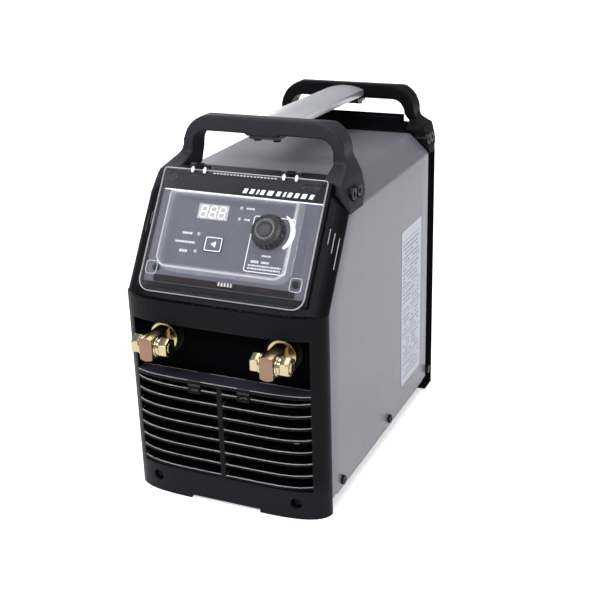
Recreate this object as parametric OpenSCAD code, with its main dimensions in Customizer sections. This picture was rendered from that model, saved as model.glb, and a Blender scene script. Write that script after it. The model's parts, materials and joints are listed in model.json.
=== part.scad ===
// Portable inverter arc welder: sheet-metal case, moulded front, two stud output terminals.
// X is to the right seen from the front, -Y is the front, Z is up, and Z = 0 is the ground.

/* [Case] */
// Width of the sheet-metal cover
case_w = 160; // [150:1:175]
// Length of the cover along its lower edge
case_len = 222; // [222:1:260]
// Height of the cover's flat top above the ground
case_top = 235; // [235:1:245]
// Height of the cover's lower edge above the ground
cover_gap = 13; // [10:1:14]
// Thickness of the cover's steel sheet
sheet = 1.2; // [1:0.1:1.5]
// Width of the chamfer between the cover's side and top
chamfer_w = 16.5; // [14:0.5:18]
// Height of the same chamfer
chamfer_h = 15; // [13:0.5:16]

/* [Front] */
// Height at which the front starts to slope back
bend_z = 159; // [157:1:160]
// Angle of the sloping panel above the horizontal
slope_angle = 56.4; // [55:0.2:58]
// How far the lower front bulges forward at its middle
bulge = 18; // [16:1:20]
// How far the sloping front stands out at its middle
slope_bulge = 11.5; // [10:0.5:11.5]
// Wall thickness of the mouldings
wall = 3; // [2.5:0.1:3.2]
// Number of louvre slats on each side
slat_count = 8; // [6:1:8]
// Distance from one slat to the next
slat_pitch = 9.6; // [9:0.1:9.6]

/* [Controls] */
// Radius of the current knob's skirt
knob_r = 13; // [11:0.5:13.5]
// Number of flutes round the knob
knob_flutes = 18; // [12:1:24]
// Travel of the select button
button_travel = 0.8; // [0.4:0.1:0.8]
// Height of the clear cover's dome above its flange
dome_h = 9; // [9:0.5:12]

/* [Terminals] */
// Distance from the centre line to each output terminal
terminal_x = 47.5; // [44:0.5:50]
// Height of the output terminals
terminal_z = 128; // [124:0.5:129]
// Reach of the terminals in front of the cover's front edge
terminal_reach = 36; // [32:1:40]

/* [Handles] */
// Height of the front handle's crossbar above the ground
handle_top = 275.5; // [272:0.5:280]
// How much lower the rear handle's crossbar is
rear_handle_drop = 4.5; // [0:0.5:6]
// Depth of the crossbars, front to back
handle_depth = 19.5; // [18:0.5:20]
// Width of the grip bar between the handles
grip_w = 33; // [28:1:36]

/* [Rear] */
// Depth of the moulded rear bezel
bezel_depth = 18; // [16:1:20]
// Reach of the cable gland behind the cover's rear edge
gland_reach = 36; // [34:1:40]
// Side of the square fan frame
fan_size = 92; // [80:1:92]

/* [Hidden] */
$fn = 48;

half_w = case_w / 2;
front_y = -case_len / 2;
rear_y = case_len / 2;
slack = 0.1;

// plan of the moulded front: a flat middle with round corners
plan_steps = 36;
lower_power = 5;
lower_round = 0.5;
upper_power = 5;
upper_round = 0.55;

// places on the sloping panel: s is the distance up the slope from the bend, n stands out of it
panel_w = 128;
panel_s = [5, 87];
panel_n = 10;
panel_t = 2;
seat_n = 12;
window_w = 102;
window_s = [20, 82];
cover_w = 131;
cover_s = [-3, 91];
cover_t = 2;
dome_w = 103;
dome_s = [14, 72];
dome_cut = 7;
hinge_n = 13;
hinge_s = 93.5;
hinge_x = 36.5;
hinge_r = 2.5;
pin_r = 1.2;
lug_w = 6;
knuckle_w = 4;
running_fit = 0.05;

display_x = -19.6;
display_s = 61;
display_size = [24.6, 11.6];
led_places = [[2.2, 66.2], [2.2, 57.9], [-27.2, 43.9], [-27.2, 30.9]];
led_r = 1.5;
button_place = [-13.6, 37.2];
button_size = [13.6, 10.8];
knob_place = [27.5, 50.5];
knob_n = [10.4, 19.5];
shaft_r = 3;
bush_r = 3.7;
board_n = -4;
board_t = 1.6;
panel_screw_places = [[-55.5, 15.5], [55.5, 15.5], [-57, 84.5], [57, 84.5]];
spacer_places = [[-46, 26], [46, 26], [-46, 77], [46, 77]];

// terminal recess and grille in the lower front
recess_w = 140;
recess_z = [100, 142];
recess_back = 3;
grille_w = 140;
grille_z = [23, 97];
rib_w = 4;
slat_z0 = 26;
slat_t = 2;
slat_depth = 9;
slat_tilt = 15;
foot_z = 2.8;
foot_inner_x = 29;
fascia_screw_x = 57.7;
fascia_screw_z = 13;
side_screw_z = 18;
side_screw_y = [front_y + 20, front_y + 124, rear_y + 5];
cap_top = case_top + 5.5;
cap_half = 56.8;

insulator_r = 17;
insulator_t = 2;
flange_r = 11;
flange_t = 5;
post_r = 9;
post_t = 10;
thread_r = 5;
bolt_y = front_y - terminal_reach + 9;
bolt_r = 4;
bolt_hole_r = 4.3;
hex_af = 13;
hex_t = 6.2;
washer_r = 8;
washer_t = 1.6;

handle_foot_z = 218.5;
handle_out = 81.3;
handle_front = 67;
rear_handle_front = 237;
handle_screw_y = [front_y + 53, front_y + 64, front_y + case_len + 5, front_y + case_len + 14];
handle_screw_z = 230;
handle_screw_seat = 75.5;
handle_r = 2.6;
grip_y = [handle_front + handle_depth + 2.6, rear_handle_front + 1];
grip_fall = atan((rear_handle_drop - 1) / (grip_y[1] - grip_y[0]));

tray_t = 1.5;
tray_z = 10;
tray_flange_z = 32;
rear_panel_y = rear_y - 1.7;
rear_panel_t = 1.5;
bezel_top = case_top + 12;
bezel_top_half = 52.4;
bezel_step_half = 56.8;
rear_screw_places = [[-74, 40], [74, 40], [-74, 200], [74, 200]];
fan_z = 100;
fan_t = 25;
fan_bore = fan_size / 2 - 2;
fan_hole = 0.897 * fan_size / 2;
switch_place = [40, 193];
gland_place = [-46, 38];
earth_place = [46, 38];
label_y = [154, 204];
label_z = [33, 170];

function bulge_y(x, b, h, p, q) = -b * pow(max(0, 1 - pow(min(1, abs(x) / h), p)), q);
function plan_points(b, h, p, q, back) = concat([[-h, back]],
    [for (i = [0 : plan_steps]) let (x = h * sin(-90 + 180 * i / plan_steps)) [x, bulge_y(x, b, h, p, q)]],
    [[h, back]]);
function outline(t, low) = [[-half_w + t, low], [half_w - t, low],
    [half_w - t, case_top - chamfer_h - 0.4 * t], [half_w - chamfer_w - 0.4 * t, case_top - t],
    [-half_w + chamfer_w + 0.4 * t, case_top - t], [-half_w + t, case_top - chamfer_h - 0.4 * t]];
function hex_r(af) = af / 2 / cos(30);

// ---- placing helpers ----
module along_x(x0, x1, y, z, r) {
    translate([x0, y, z]) rotate([0, 90, 0]) cylinder(h = x1 - x0, r = r);
}
module along_y(y0, y1, x, z, r) {
    translate([x, y0, z]) rotate([-90, 0, 0]) cylinder(h = y1 - y0, r = r);
}
module box(x, y, z) {
    translate([x[0], y[0], z[0]]) cube([x[1] - x[0], y[1] - y[0], z[1] - z[0]]);
}
module both_sides() {
    children();
    mirror([1, 0, 0]) children();
}
module extrude_y(y0, y1) {
    translate([0, y1, 0]) rotate([90, 0, 0]) linear_extrude(y1 - y0) children();
}
module slope_frame() {
    translate([0, front_y, bend_z]) rotate([slope_angle - 90, 0, 0]) children();
}
module peg(place, n0, n1, r) {
    translate([place[0], -n0, place[1]]) rotate([90, 0, 0]) cylinder(h = n1 - n0, r = r);
}
module plate(x, s, n) {
    translate([x[0], -n[1], s[0]]) cube([x[1] - x[0], n[1] - n[0], s[1] - s[0]]);
}
module hex_prism(af, h) {
    cylinder(h = h, r = hex_r(af), $fn = 6);
}

// ---- case ----
module side_screw_holes(r) {
    both_sides() for (y = side_screw_y) along_x(half_w - 12, half_w + 1, y, side_screw_z, r);
}
module handle_screw_holes(r) {
    both_sides() for (y = handle_screw_y) along_x(half_w - 24, half_w + 6, y, handle_screw_z, r);
}
module base_tray() {
    color("dimgray") difference() {
        union() {
            box([-half_w + 3, half_w - 3], [front_y + 2, rear_y - 2], [tray_z, tray_z + tray_t]);
            box([-half_w + 1.3, half_w - 1.3], [front_y + 12, rear_y - 4], [tray_z, tray_z + tray_t]);
            both_sides()
                box([half_w - 2.8, half_w - 1.3], [front_y + 12, rear_y - 4], [tray_z, tray_flange_z]);
            box([-half_w + 8, half_w - 8], [front_y + 2, front_y + 3.5], [tray_z, tray_flange_z - 8]);
            box([-half_w + 4, half_w - 4], [rear_y - 3.5, rear_y - 2], [tray_z, tray_flange_z - 8]);
        }
        side_screw_holes(1.9);
        both_sides() along_y(front_y, front_y + 5, fascia_screw_x, fascia_screw_z, 1.9);
        for (x = [-40 : 20 : 40])
            box([x - 2.5, x + 2.5], [front_y + 60, front_y + 160], [tray_z - 1, tray_z + 3]);
    }
}
module top_cover() {
    color("darkgray") difference() {
        extrude_y(front_y, rear_y) difference() {
            polygon(outline(0, cover_gap));
            polygon(outline(sheet, cover_gap - 1));
        }
        slope_frame() plate([-case_w, case_w], [0, 140], [0, 60]);
        side_screw_holes(2.1);
        handle_screw_holes(handle_r);
    }
}

// ---- moulded front ----
module lower_front(t, back, z0, z1) {
    translate([0, front_y, z0]) linear_extrude(z1 - z0)
        polygon(plan_points(bulge - t, half_w - t, lower_power, lower_round, back));
}
module upper_front(t, back, s0, s1) {
    slope_frame() translate([0, 0, s0]) linear_extrude(s1 - s0)
        polygon(plan_points(slope_bulge - t, half_w - t, upper_power, upper_round, back));
}
module front_blank() {
    lower_front(0, 0, 0, bend_z);
    intersection() {
        upper_front(0, 0, -20, 130);
        extrude_y(front_y - 60, front_y + 90) union() {
            polygon(outline(0, bend_z));
            translate([-cap_half, bend_z]) square([2 * cap_half, cap_top - bend_z]);
        }
    }
    slope_frame() plate([-panel_w / 2 - 3.5, panel_w / 2 + 3.5], [0.5, 90], [1, seat_n]);
    front_cap();
}
module front_cap() {
    translate([-cap_half, 0, 0]) rotate([90, 0, 90]) linear_extrude(2 * cap_half)
        polygon([[front_y + 39.8, case_top], [front_y + 39.8, cap_top], [front_y + 60, cap_top],
            [front_y + 66, case_top]]);
}
module front_hollow() {
    lower_front(wall, 1, 6, bend_z + 0.01);
    intersection() {
        upper_front(wall, 1, -20, 120);
        extrude_y(front_y - 60, front_y + 90) union() {
            polygon(outline(wall, bend_z));
            translate([-cap_half + wall, bend_z]) square([2 * (cap_half - wall), cap_top - wall - bend_z]);
        }
        box([-case_w, case_w], [front_y - 60, front_y + 90], [bend_z, case_top - 0.5]);
    }
}
module louvres() {
    intersection() {
        difference() {
            lower_front(0, 0, grille_z[0] - 1, grille_z[1] + 1);
            lower_front(slat_depth, 1, grille_z[0] - 2, grille_z[1] + 2);
        }
        union() {
            for (k = [0 : slat_count - 1])
                translate([-grille_w / 2 - 1, front_y - bulge, slat_z0 + k * slat_pitch - slat_t])
                    rotate([slat_tilt, 0, 0]) translate([0, -2, 0]) cube([grille_w + 2, 40, slat_t]);
            box([-rib_w / 2, rib_w / 2], [front_y - 30, front_y], [grille_z[0] - 1, grille_z[1] + 1]);
        }
        box([-grille_w / 2 - 1, grille_w / 2 + 1], [front_y - 30, front_y - 1],
            [grille_z[0] - 1, grille_z[1] + 1]);
    }
}
module polarity_tabs() {
    difference() {
        intersection() {
            translate([0, -0.8, 0]) lower_front(0, 0, 90, 98);
            both_sides() box([15, 25], [front_y - 30, front_y - 12], [90, 96.8]);
        }
        both_sides() box([17, 23], [front_y - 30, front_y - bulge + 0.2], [92.9, 94.1]);
        box([19.4, 20.6], [front_y - 30, front_y - bulge + 0.2], [90.8, 96]);
    }
}
module recess_tub() {
    intersection() {
        lower_front(0, 0, recess_z[0] - wall, recess_z[1] + wall);
        box([-recess_w / 2 - wall, recess_w / 2 + wall], [front_y - 30, front_y],
            [recess_z[0] - wall, recess_z[1] + wall]);
    }
}
module side_slits() {
    both_sides() slope_frame() {
        plate([70.4, 71.7], [46.5, 60], [-1, 20]);
        plate([73.8, 75.1], [41, 57.5], [-1, 20]);
        plate([77, 78.3], [30, 55], [-1, 20]);
    }
}
module front_lugs() {
    both_sides() slope_frame() difference() {
        union() {
            translate([hinge_x - lug_w / 2, -hinge_n, hinge_s]) rotate([0, 90, 0])
                cylinder(h = lug_w, r = hinge_r);
            plate([hinge_x - lug_w / 2, hinge_x + lug_w / 2], [hinge_s - 1.9, hinge_s + 2.2], [5, hinge_n]);
        }
        translate([hinge_x - lug_w, -hinge_n, hinge_s]) rotate([0, 90, 0])
            cylinder(h = 2 * lug_w, r = pin_r + 0.02);
    }
}
module front_fascia() {
    color([0.16, 0.16, 0.18]) difference() {
        union() {
            difference() {
                front_blank();
                front_hollow();
                both_sides() box([rib_w / 2, grille_w / 2], [front_y - 40, front_y - 2], grille_z);
            }
            recess_tub();
            slope_frame()
                plate([-panel_w / 2 - 3.5, panel_w / 2 + 3.5], [1, 90], [panel_n - panel_t - wall, seat_n]);
            louvres();
            polarity_tabs();
            front_lugs();
            both_sides() {
                box([half_w - 3.4, half_w - 1.5], [front_y - 1, front_y + 10], [16, 150]);
                along_y(front_y - 12, front_y + 1.9, fascia_screw_x, fascia_screw_z, 4.5);
            }
        }
        box([-recess_w / 2, recess_w / 2], [front_y - 60, front_y - recess_back], recess_z);
        slope_frame() {
            plate([-panel_w / 2 - 0.3, panel_w / 2 + 0.3], [panel_s[0] - 0.3, panel_s[1] + 0.3],
                [panel_n - panel_t, 40]);
            plate([-window_w / 2, window_w / 2], window_s, [-20, 40]);
            for (p = panel_screw_places) peg(p, 0, 20, 1.6);
        }
        box([-foot_inner_x, foot_inner_x], [front_y - 60, front_y + 20], [-1, foot_z]);
        both_sides() {
            along_y(front_y - 40, front_y + 3, fascia_screw_x, fascia_screw_z, 2.1);
            along_y(front_y - 40, front_y - 10.5, fascia_screw_x, fascia_screw_z, 4.4);
            along_y(front_y - 20, front_y + 3, terminal_x, terminal_z, thread_r + 0.3);
        }
        side_slits();
        handle_screw_holes(handle_r);
    }
}

// ---- rear ----
module rear_bezel() {
    color([0.1, 0.1, 0.11]) difference() {
        union() {
            extrude_y(rear_y, rear_y + bezel_depth) polygon(outline(0, 0));
            box([-bezel_top_half, bezel_top_half], [rear_y + 4, rear_y + bezel_depth],
                [case_top - 3, bezel_top]);
            box([-bezel_step_half, bezel_step_half], [rear_y + 4, rear_y + bezel_depth],
                [case_top - 3, case_top + 6]);
        }
        extrude_y(rear_y - 1, rear_y + bezel_depth + 1) polygon(outline(10, 20));
        box([-foot_inner_x, foot_inner_x], [rear_y - 5, rear_y + 40], [-1, foot_z]);
        box([-46.4, 46.4], [rear_y + 4 + wall, rear_y + bezel_depth + 1], [case_top - 20, bezel_top - wall]);
        side_screw_holes(2.1);
        handle_screw_holes(handle_r);
        for (p = rear_screw_places) along_y(rear_y - 1, rear_y + 30, p[0], p[1], 2.1);
    }
}
module rear_panel() {
    color("dimgray") difference() {
        extrude_y(rear_panel_y, rear_panel_y + rear_panel_t) polygon(outline(1.5, tray_z + tray_t + 0.5));
        along_y(rear_y - 5, rear_y + 5, 0, fan_z, fan_bore - 1);
        for (x = [-1, 1]) for (z = [-1, 1])
            along_y(rear_y - 5, rear_y + 5, x * fan_hole, fan_z + z * fan_hole, 2.2);
        for (p = rear_screw_places) along_y(rear_y - 5, rear_y + 5, p[0], p[1], 2.1);
        box([switch_place[0] - 11, switch_place[0] + 11], [rear_y - 5, rear_y + 5],
            [switch_place[1] - 14, switch_place[1] + 14]);
        along_y(rear_y - 5, rear_y + 5, gland_place[0], gland_place[1], 8.1);
        along_y(rear_y - 5, rear_y + 5, earth_place[0], earth_place[1], 3.1);
        side_screw_holes(4);
    }
}

// ---- handles ----
module handle_outer(top, w) {
    hull() for (x = [-w + 23, w - 23]) translate([x, top - 23]) circle(r = 23);
    polygon([[-w + 23, top - 5], [-w + 23, top], [0, top + 0.6], [w - 23, top], [w - 23, top - 5]]);
    both_sides() polygon([[w - 23, top - 23], [w, top - 23], [w + 1.5, top - 27], [73, 239.5], [77, 230],
        [handle_out, handle_foot_z], [w - 23, handle_foot_z]]);
}
module handle_inner(top, w) {
    hull() for (x = [-w + 20, w - 20]) translate([x, top - 23.5]) circle(r = 11.5, $fn = 40);
    both_sides()
        polygon([[-1, top - 23], [w - 9, top - 23], [57.5, 242], [58, case_top], [58, 200], [-1, 200]]);
}
module handle_side(f, toe, top) {
    d = handle_depth;
    polygon([[toe, handle_foot_z], [toe + 4.5, 239], [toe + 16, 242.5], [f, 247], [f + 2.5, top + 0.4],
        [f + 2.5 + d, top - 2.2], [f + d, 246], [f + d - 3.5, 235], [f + d - 9.5, 225],
        [f + d - 20.5, handle_foot_z]]);
}
module handle_body(f, toe, top, w) {
    intersection() {
        extrude_y(front_y, rear_y + 80) difference() {
            handle_outer(top, w);
            handle_inner(top, w);
        }
        translate([-half_w - 10, front_y, 0]) rotate([90, 0, 90]) linear_extrude(case_w + 20)
            handle_side(f, toe, top);
    }
    translate([0, front_y, 0]) intersection() {
        translate([-12.5, f, top - 13.7]) cube([25, handle_depth, 4]);
        translate([-20, 0, 0]) rotate([90, 0, 90]) linear_extrude(40) handle_side(f, toe, top);
    }
}
module handle_cuts(top) {
    extrude_y(front_y - 20, rear_y + 80) polygon(outline(-0.02, 0));
    handle_screw_holes(handle_r);
    both_sides() for (y = handle_screw_y) along_x(handle_screw_seat, half_w + 10, y, handle_screw_z, 4.6);
    for (x = [-8, 8]) {
        translate([x, front_y + grip_y[0] - 10, top - 20]) cylinder(h = 15, r = 1.7);
        translate([x, front_y + grip_y[1] + 10, top - 20]) cylinder(h = 15, r = 1.7);
    }
}
module front_handle() {
    color([0.25, 0.25, 0.29]) difference() {
        handle_body(handle_front, 39, handle_top, 65.5);
        handle_cuts(handle_top);
        slope_frame() plate([-panel_w / 2 - 3.8, panel_w / 2 + 3.8], [0, 90.3], [0, seat_n + 0.3]);
    }
}
module rear_handle() {
    color([0.08, 0.08, 0.09]) difference() {
        handle_body(rear_handle_front, case_len, handle_top - rear_handle_drop, 61.5);
        handle_cuts(handle_top - rear_handle_drop);
    }
}
module grip_arch(drop, w) {
    rise = 3;
    r = (w * w / 4 + rise * rise) / (2 * rise);
    intersection() {
        translate([0, -drop - r]) circle(r = r, $fn = 160);
        translate([-w / 2 + drop, -40]) square([w - 2 * drop, 60]);
    }
}
module grip_channel(z) {
    translate([0, front_y + grip_y[0], handle_top - 2.5]) rotate([-grip_fall, 0, 0]) rotate([90, 0, 0])
        translate([0, 0, -grip_y[1] + grip_y[0]]) linear_extrude(grip_y[1] - grip_y[0]) difference() {
            grip_arch(0, grip_w);
            grip_arch(z, grip_w);
            translate([-40, -60]) square([80, 52]);
        }
}
module grip_tab(y, reach, low, high) {
    box([-12, 12], [front_y + y - 1.8, front_y + y + 0.2], [low, high]);
    box([-12, 12], [front_y + min(y, y + reach) - 1.8, front_y + max(y, y + reach) + 0.2], [low, low + 2.6]);
}
module grip_bar() {
    rear_top = handle_top - rear_handle_drop;
    color([0.8, 0.8, 0.82]) difference() {
        union() {
            grip_channel(2);
            grip_tab(grip_y[0] + 2, -16, handle_top - 16.5, handle_top - 5.2);
            grip_tab(grip_y[1] - 0.4, 16, rear_top - 16.5, rear_top - 3.7);
        }
        for (x = [-8, 8]) {
            translate([x, front_y + grip_y[0] - 10, handle_top - 20]) cylinder(h = 10, r = 1.9);
            translate([x, front_y + grip_y[1] + 10, rear_top - 20]) cylinder(h = 10, r = 1.9);
        }
    }
}
module grip_screws() {
    rear_top = handle_top - rear_handle_drop;
    color("silver") for (x = [-8, 8]) {
        translate([x, front_y + grip_y[0] - 10, handle_top - 18.6]) {
            cylinder(h = 2, r = 3);
            cylinder(h = 13, r = 1.65);
        }
        translate([x, front_y + grip_y[1] + 10, rear_top - 18.6]) {
            cylinder(h = 2, r = 3);
            cylinder(h = 13, r = 1.65);
        }
    }
}

// ---- screws ----
module socket_screw(head_r, head_h, shank_r, shank_l, key_af) {
    difference() {
        union() {
            cylinder(h = head_h, r = head_r);
            translate([0, 0, -shank_l]) cylinder(h = shank_l + 0.1, r = shank_r);
        }
        translate([0, 0, head_h * 0.4]) hex_prism(key_af, head_h);
    }
}
module cross_screw(head_r, head_h, shank_r, shank_l) {
    difference() {
        union() {
            cylinder(h = head_h, r = head_r);
            translate([0, 0, -shank_l]) cylinder(h = shank_l + 0.1, r = shank_r);
        }
        for (a = [0, 90]) rotate([0, 0, a]) translate([-head_r * 0.6, -0.4, head_h * 0.5])
            cube([head_r * 1.2, 0.8, head_h]);
    }
}
module handle_screws() {
    color("black") both_sides() for (y = handle_screw_y)
        translate([handle_screw_seat + 0.05, y, handle_screw_z]) rotate([0, 90, 0])
            socket_screw(4.4, 3.4, handle_r - slack, 16, 4);
}
module cover_screws() {
    color("black") both_sides() for (y = side_screw_y)
        translate([half_w, y, side_screw_z]) rotate([0, 90, 0]) cross_screw(3.6, 1.9, 1.8, 5);
}
module fascia_screws() {
    color("black") both_sides() translate([fascia_screw_x, front_y - 10.5, fascia_screw_z]) rotate([90, 0, 0])
        cross_screw(3.6, 2, 1.8, 15);
}
module rear_screws() {
    color("black") for (p = rear_screw_places) translate([p[0], rear_y + bezel_depth, p[1]])
        rotate([-90, 0, 0]) cross_screw(3.6, 2, 1.9, 22);
}
module panel_screws() {
    color("black") slope_frame() for (p = panel_screw_places) translate([p[0], -panel_n, p[1]])
        rotate([90, 0, 0]) cross_screw(2.7, 1.5, 1.5, 6);
}
module fan_screws() {
    color("silver") for (x = [-1, 1]) for (z = [-1, 1])
        translate([x * fan_hole, rear_y + 1.6, fan_z + z * fan_hole]) rotate([-90, 0, 0])
            cross_screw(3.6, 2, 1.9, 20);
}

// ---- controls ----
module control_panel() {
    color([0.42, 0.44, 0.5]) slope_frame() difference() {
        plate([-panel_w / 2, panel_w / 2], panel_s, [panel_n - panel_t, panel_n]);
        plate([display_x - display_size[0] / 2, display_x + display_size[0] / 2],
            [display_s - display_size[1] / 2, display_s + display_size[1] / 2], [0, 20]);
        plate([button_place[0] - button_size[0] / 2 - 0.3, button_place[0] + button_size[0] / 2 + 0.3],
            [button_place[1] - button_size[1] / 2 - 0.3, button_place[1] + button_size[1] / 2 + 0.3],
            [0, 20]);
        for (p = led_places) peg(p, 0, 20, led_r + slack);
        peg(knob_place, 0, 20, bush_r + slack);
        for (p = panel_screw_places) peg(p, 0, 20, 1.6);
    }
}
module display_module() {
    w = display_size[0] / 2 + 1.5;
    h = display_size[1] / 2 + 1;
    color([0.2, 0.2, 0.2]) slope_frame() difference() {
        plate([display_x - w, display_x + w], [display_s - h, display_s + h],
            [board_n + board_t, panel_n - panel_t]);
        plate([display_x - w + 1.5, display_x + w - 1.5], [display_s - h + 1, display_s + h - 1],
            [panel_n - panel_t - 1.2, panel_n]);
    }
}
module display_lens() {
    color([0.75, 0.77, 0.78]) slope_frame()
        plate([display_x - display_size[0] / 2 + slack, display_x + display_size[0] / 2 - slack],
            [display_s - display_size[1] / 2 + slack, display_s + display_size[1] / 2 - slack],
            [panel_n - panel_t - 1.1, panel_n + 0.2]);
}
module indicator_leds() {
    color([0.8, 0.8, 0.75]) slope_frame() for (p = led_places) {
        peg(p, board_n + board_t, panel_n - 0.2, led_r);
        translate([p[0], -panel_n + 0.2, p[1]]) rotate([90, 0, 0])
            cylinder(r1 = led_r, r2 = led_r * 0.6, h = led_r * 0.6);
    }
}
module select_button() {
    w = button_size[0] / 2;
    h = button_size[1] / 2;
    color([0.3, 0.31, 0.35]) slope_frame() {
        plate([button_place[0] - w, button_place[0] + w], [button_place[1] - h, button_place[1] + h],
            [panel_n - panel_t - 0.4, panel_n + 1]);
        peg(button_place, board_n + board_t + 4.2 + button_travel, panel_n - panel_t, 2.5);
    }
}
module button_switch() {
    color([0.15, 0.15, 0.15]) slope_frame() {
        plate([button_place[0] - 6, button_place[0] + 6], [button_place[1] - 5, button_place[1] + 5],
            [board_n + board_t, board_n + board_t + 3]);
        peg(button_place, board_n + board_t + 2.9, board_n + board_t + 4, 3);
    }
}
module current_knob() {
    skirt_h = 6.4;
    color([0.12, 0.12, 0.13]) slope_frame() translate([knob_place[0], -knob_n[0], knob_place[1]])
        rotate([90, 0, 0]) difference() {
            union() {
                cylinder(h = skirt_h, r1 = knob_r, r2 = knob_r - 2.2);
                cylinder(h = knob_n[1] - knob_n[0], r = 8.2);
            }
            for (a = [0 : 360 / knob_flutes : 359]) rotate([0, 0, a])
                translate([knob_r - 0.2, 0, 1.6]) cylinder(h = 10, r = 1.1, $fn = 16);
            translate([0, 0, knob_n[1] - knob_n[0] - 1]) cylinder(h = 2, r = 6.2);
            translate([0, 0, -1]) cylinder(h = 7, r = shaft_r + 0.02);
        }
}
module knob_shaft() {
    color("silver") slope_frame() peg(knob_place, 2, knob_n[0] + 5.5, shaft_r);
}
module potentiometer() {
    color([0.5, 0.5, 0.35]) slope_frame() difference() {
        union() {
            peg(knob_place, board_n + board_t, 6, 8);
            peg(knob_place, 5, knob_n[0] - 0.3, bush_r);
        }
        peg(knob_place, 1.5, 20, shaft_r + running_fit);
    }
}
module control_board() {
    color([0.1, 0.35, 0.2]) slope_frame() difference() {
        plate([-54, 54], [14, 84], [board_n, board_n + board_t]);
        for (p = spacer_places) peg(p, -10, 10, 1.6);
    }
}
module board_spacers() {
    color("silver") slope_frame() for (p = spacer_places) difference() {
        translate([p[0], -board_n - board_t, p[1]]) rotate([90, 0, 0])
            hex_prism(5.5, panel_n - panel_t - board_n - board_t);
        peg(p, -10, 7, 1.25);
    }
}
module hinge_barrel(x0, x1) {
    translate([x0, -hinge_n, hinge_s]) rotate([0, 90, 0]) cylinder(h = x1 - x0, r = hinge_r);
}
module clear_cover() {
    dome_n = seat_n + cover_t + dome_h;
    skin = 1.8;
    knuckle_at = lug_w / 2 + 0.3;
    color([0.85, 0.9, 0.95, 0.4]) slope_frame() difference() {
        union() {
            difference() {
                plate([-cover_w / 2, cover_w / 2], cover_s, [seat_n, seat_n + cover_t]);
                both_sides() plate([hinge_x - lug_w / 2 - 0.4, hinge_x + lug_w / 2 + 0.4],
                    [hinge_s - 4.5, 120], [0, 40]);
                both_sides() translate([cover_w / 2, 0, cover_s[0]]) rotate([0, 45, 0])
                    cube([9, 80, 9], center = true);
            }
            dome_block(0, seat_n, dome_n);
            both_sides() for (x = [hinge_x - knuckle_at - knuckle_w, hinge_x + knuckle_at]) {
                hinge_barrel(x, x + knuckle_w);
                plate([x, x + knuckle_w], [cover_s[1] - 1, hinge_s], [seat_n, seat_n + cover_t]);
            }
        }
        dome_block(skin, seat_n - 1, dome_n - skin);
        both_sides() translate([hinge_x - 12, -hinge_n, hinge_s]) rotate([0, 90, 0])
            cylinder(h = 24, r = pin_r + running_fit);
    }
}
module dome_block(t, n0, n1) {
    x = dome_w / 2 - t;
    translate([0, -n0, 0]) rotate([90, 0, 0]) linear_extrude(n1 - n0)
        polygon([[-x, dome_s[0] + dome_cut + 0.4 * t], [-x + dome_cut - 0.6 * t, dome_s[0] + t],
            [x - dome_cut + 0.6 * t, dome_s[0] + t], [x, dome_s[0] + dome_cut + 0.4 * t],
            [x, dome_s[1] - t], [-x, dome_s[1] - t]]);
}
module cover_hinge_pins() {
    reach = lug_w / 2 + knuckle_w + 0.8;
    color("silver") both_sides() slope_frame() translate([hinge_x - reach, -hinge_n, hinge_s])
        rotate([0, 90, 0]) cylinder(h = 2 * reach, r = pin_r);
}

// ---- output terminals ----
module each_terminal() {
    for (x = [-terminal_x, terminal_x]) translate([x, front_y, terminal_z]) children();
}
module terminal_insulators() {
    color([0.06, 0.06, 0.06]) each_terminal() difference() {
        along_y(-recess_back - insulator_t, -recess_back, 0, 0, insulator_r - 3);
        along_y(-20, 10, 0, 0, thread_r + slack);
    }
}
module terminal_studs() {
    y0 = -recess_back - insulator_t;
    color([0.8, 0.62, 0.3]) each_terminal() difference() {
        union() {
            along_y(y0 - flange_t, y0, 0, 0, flange_r);
            intersection() {
                along_y(-terminal_reach, y0, 0, 0, post_r);
                box([-post_t / 2, post_t / 2], [-terminal_reach, y0], [-post_r, post_r]);
            }
            along_y(y0 - 0.1, 22, 0, 0, thread_r - slack);
        }
        along_x(-20, 20, bolt_y - front_y, 0, bolt_hole_r);
    }
}
module terminal_bolts() {
    head_x = -post_t / 2 - 2.7;
    color([0.85, 0.7, 0.4]) each_terminal() translate([0, bolt_y - front_y, 0]) {
        translate([head_x, 0, 0]) rotate([0, -90, 0]) hex_prism(hex_af, hex_t - 0.4);
        along_x(head_x - 0.1, 15.6, 0, 0, bolt_r - slack);
    }
}
module terminal_washers() {
    color([0.85, 0.72, 0.45]) each_terminal() translate([0, bolt_y - front_y, 0]) {
        for (x = [-post_t / 2 - 2.1, post_t / 2 + 0.3]) difference() {
            along_x(x, x + washer_t, 0, 0, washer_r);
            along_x(x - 1, x + 5, 0, 0, bolt_r + slack);
        }
        difference() {
            along_x(post_t / 2 + 0.3 + washer_t, post_t / 2 + 3.9, 0, 0, washer_r - 1.3);
            along_x(0, 20, 0, 0, bolt_r + slack);
            box([5, 12], [-0.4, 0.4], [0, 10]);
        }
    }
}
module terminal_nuts() {
    x = post_t / 2 + 4;
    color([0.88, 0.74, 0.42]) each_terminal() translate([0, bolt_y - front_y, 0]) difference() {
        translate([x, 0, 0]) rotate([0, 90, 0]) hex_prism(hex_af, hex_t);
        along_x(0, 30, 0, 0, bolt_r);
    }
}
module stud_back_nuts() {
    color([0.8, 0.62, 0.3]) each_terminal() difference() {
        translate([0, 0.1, 0]) rotate([-90, 0, 0]) hex_prism(17, 5);
        along_y(-1, 8, 0, 0, thread_r);
    }
}
module busbars() {
    color([0.8, 0.45, 0.3]) each_terminal() difference() {
        union() {
            box([-8, 8], [5.2, 7.7], [-8, 14]);
            box([-8, 8], [5.2, 49.9], [11.5, 14]);
        }
        along_y(0, 20, 0, 0, thread_r + slack);
    }
}

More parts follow.
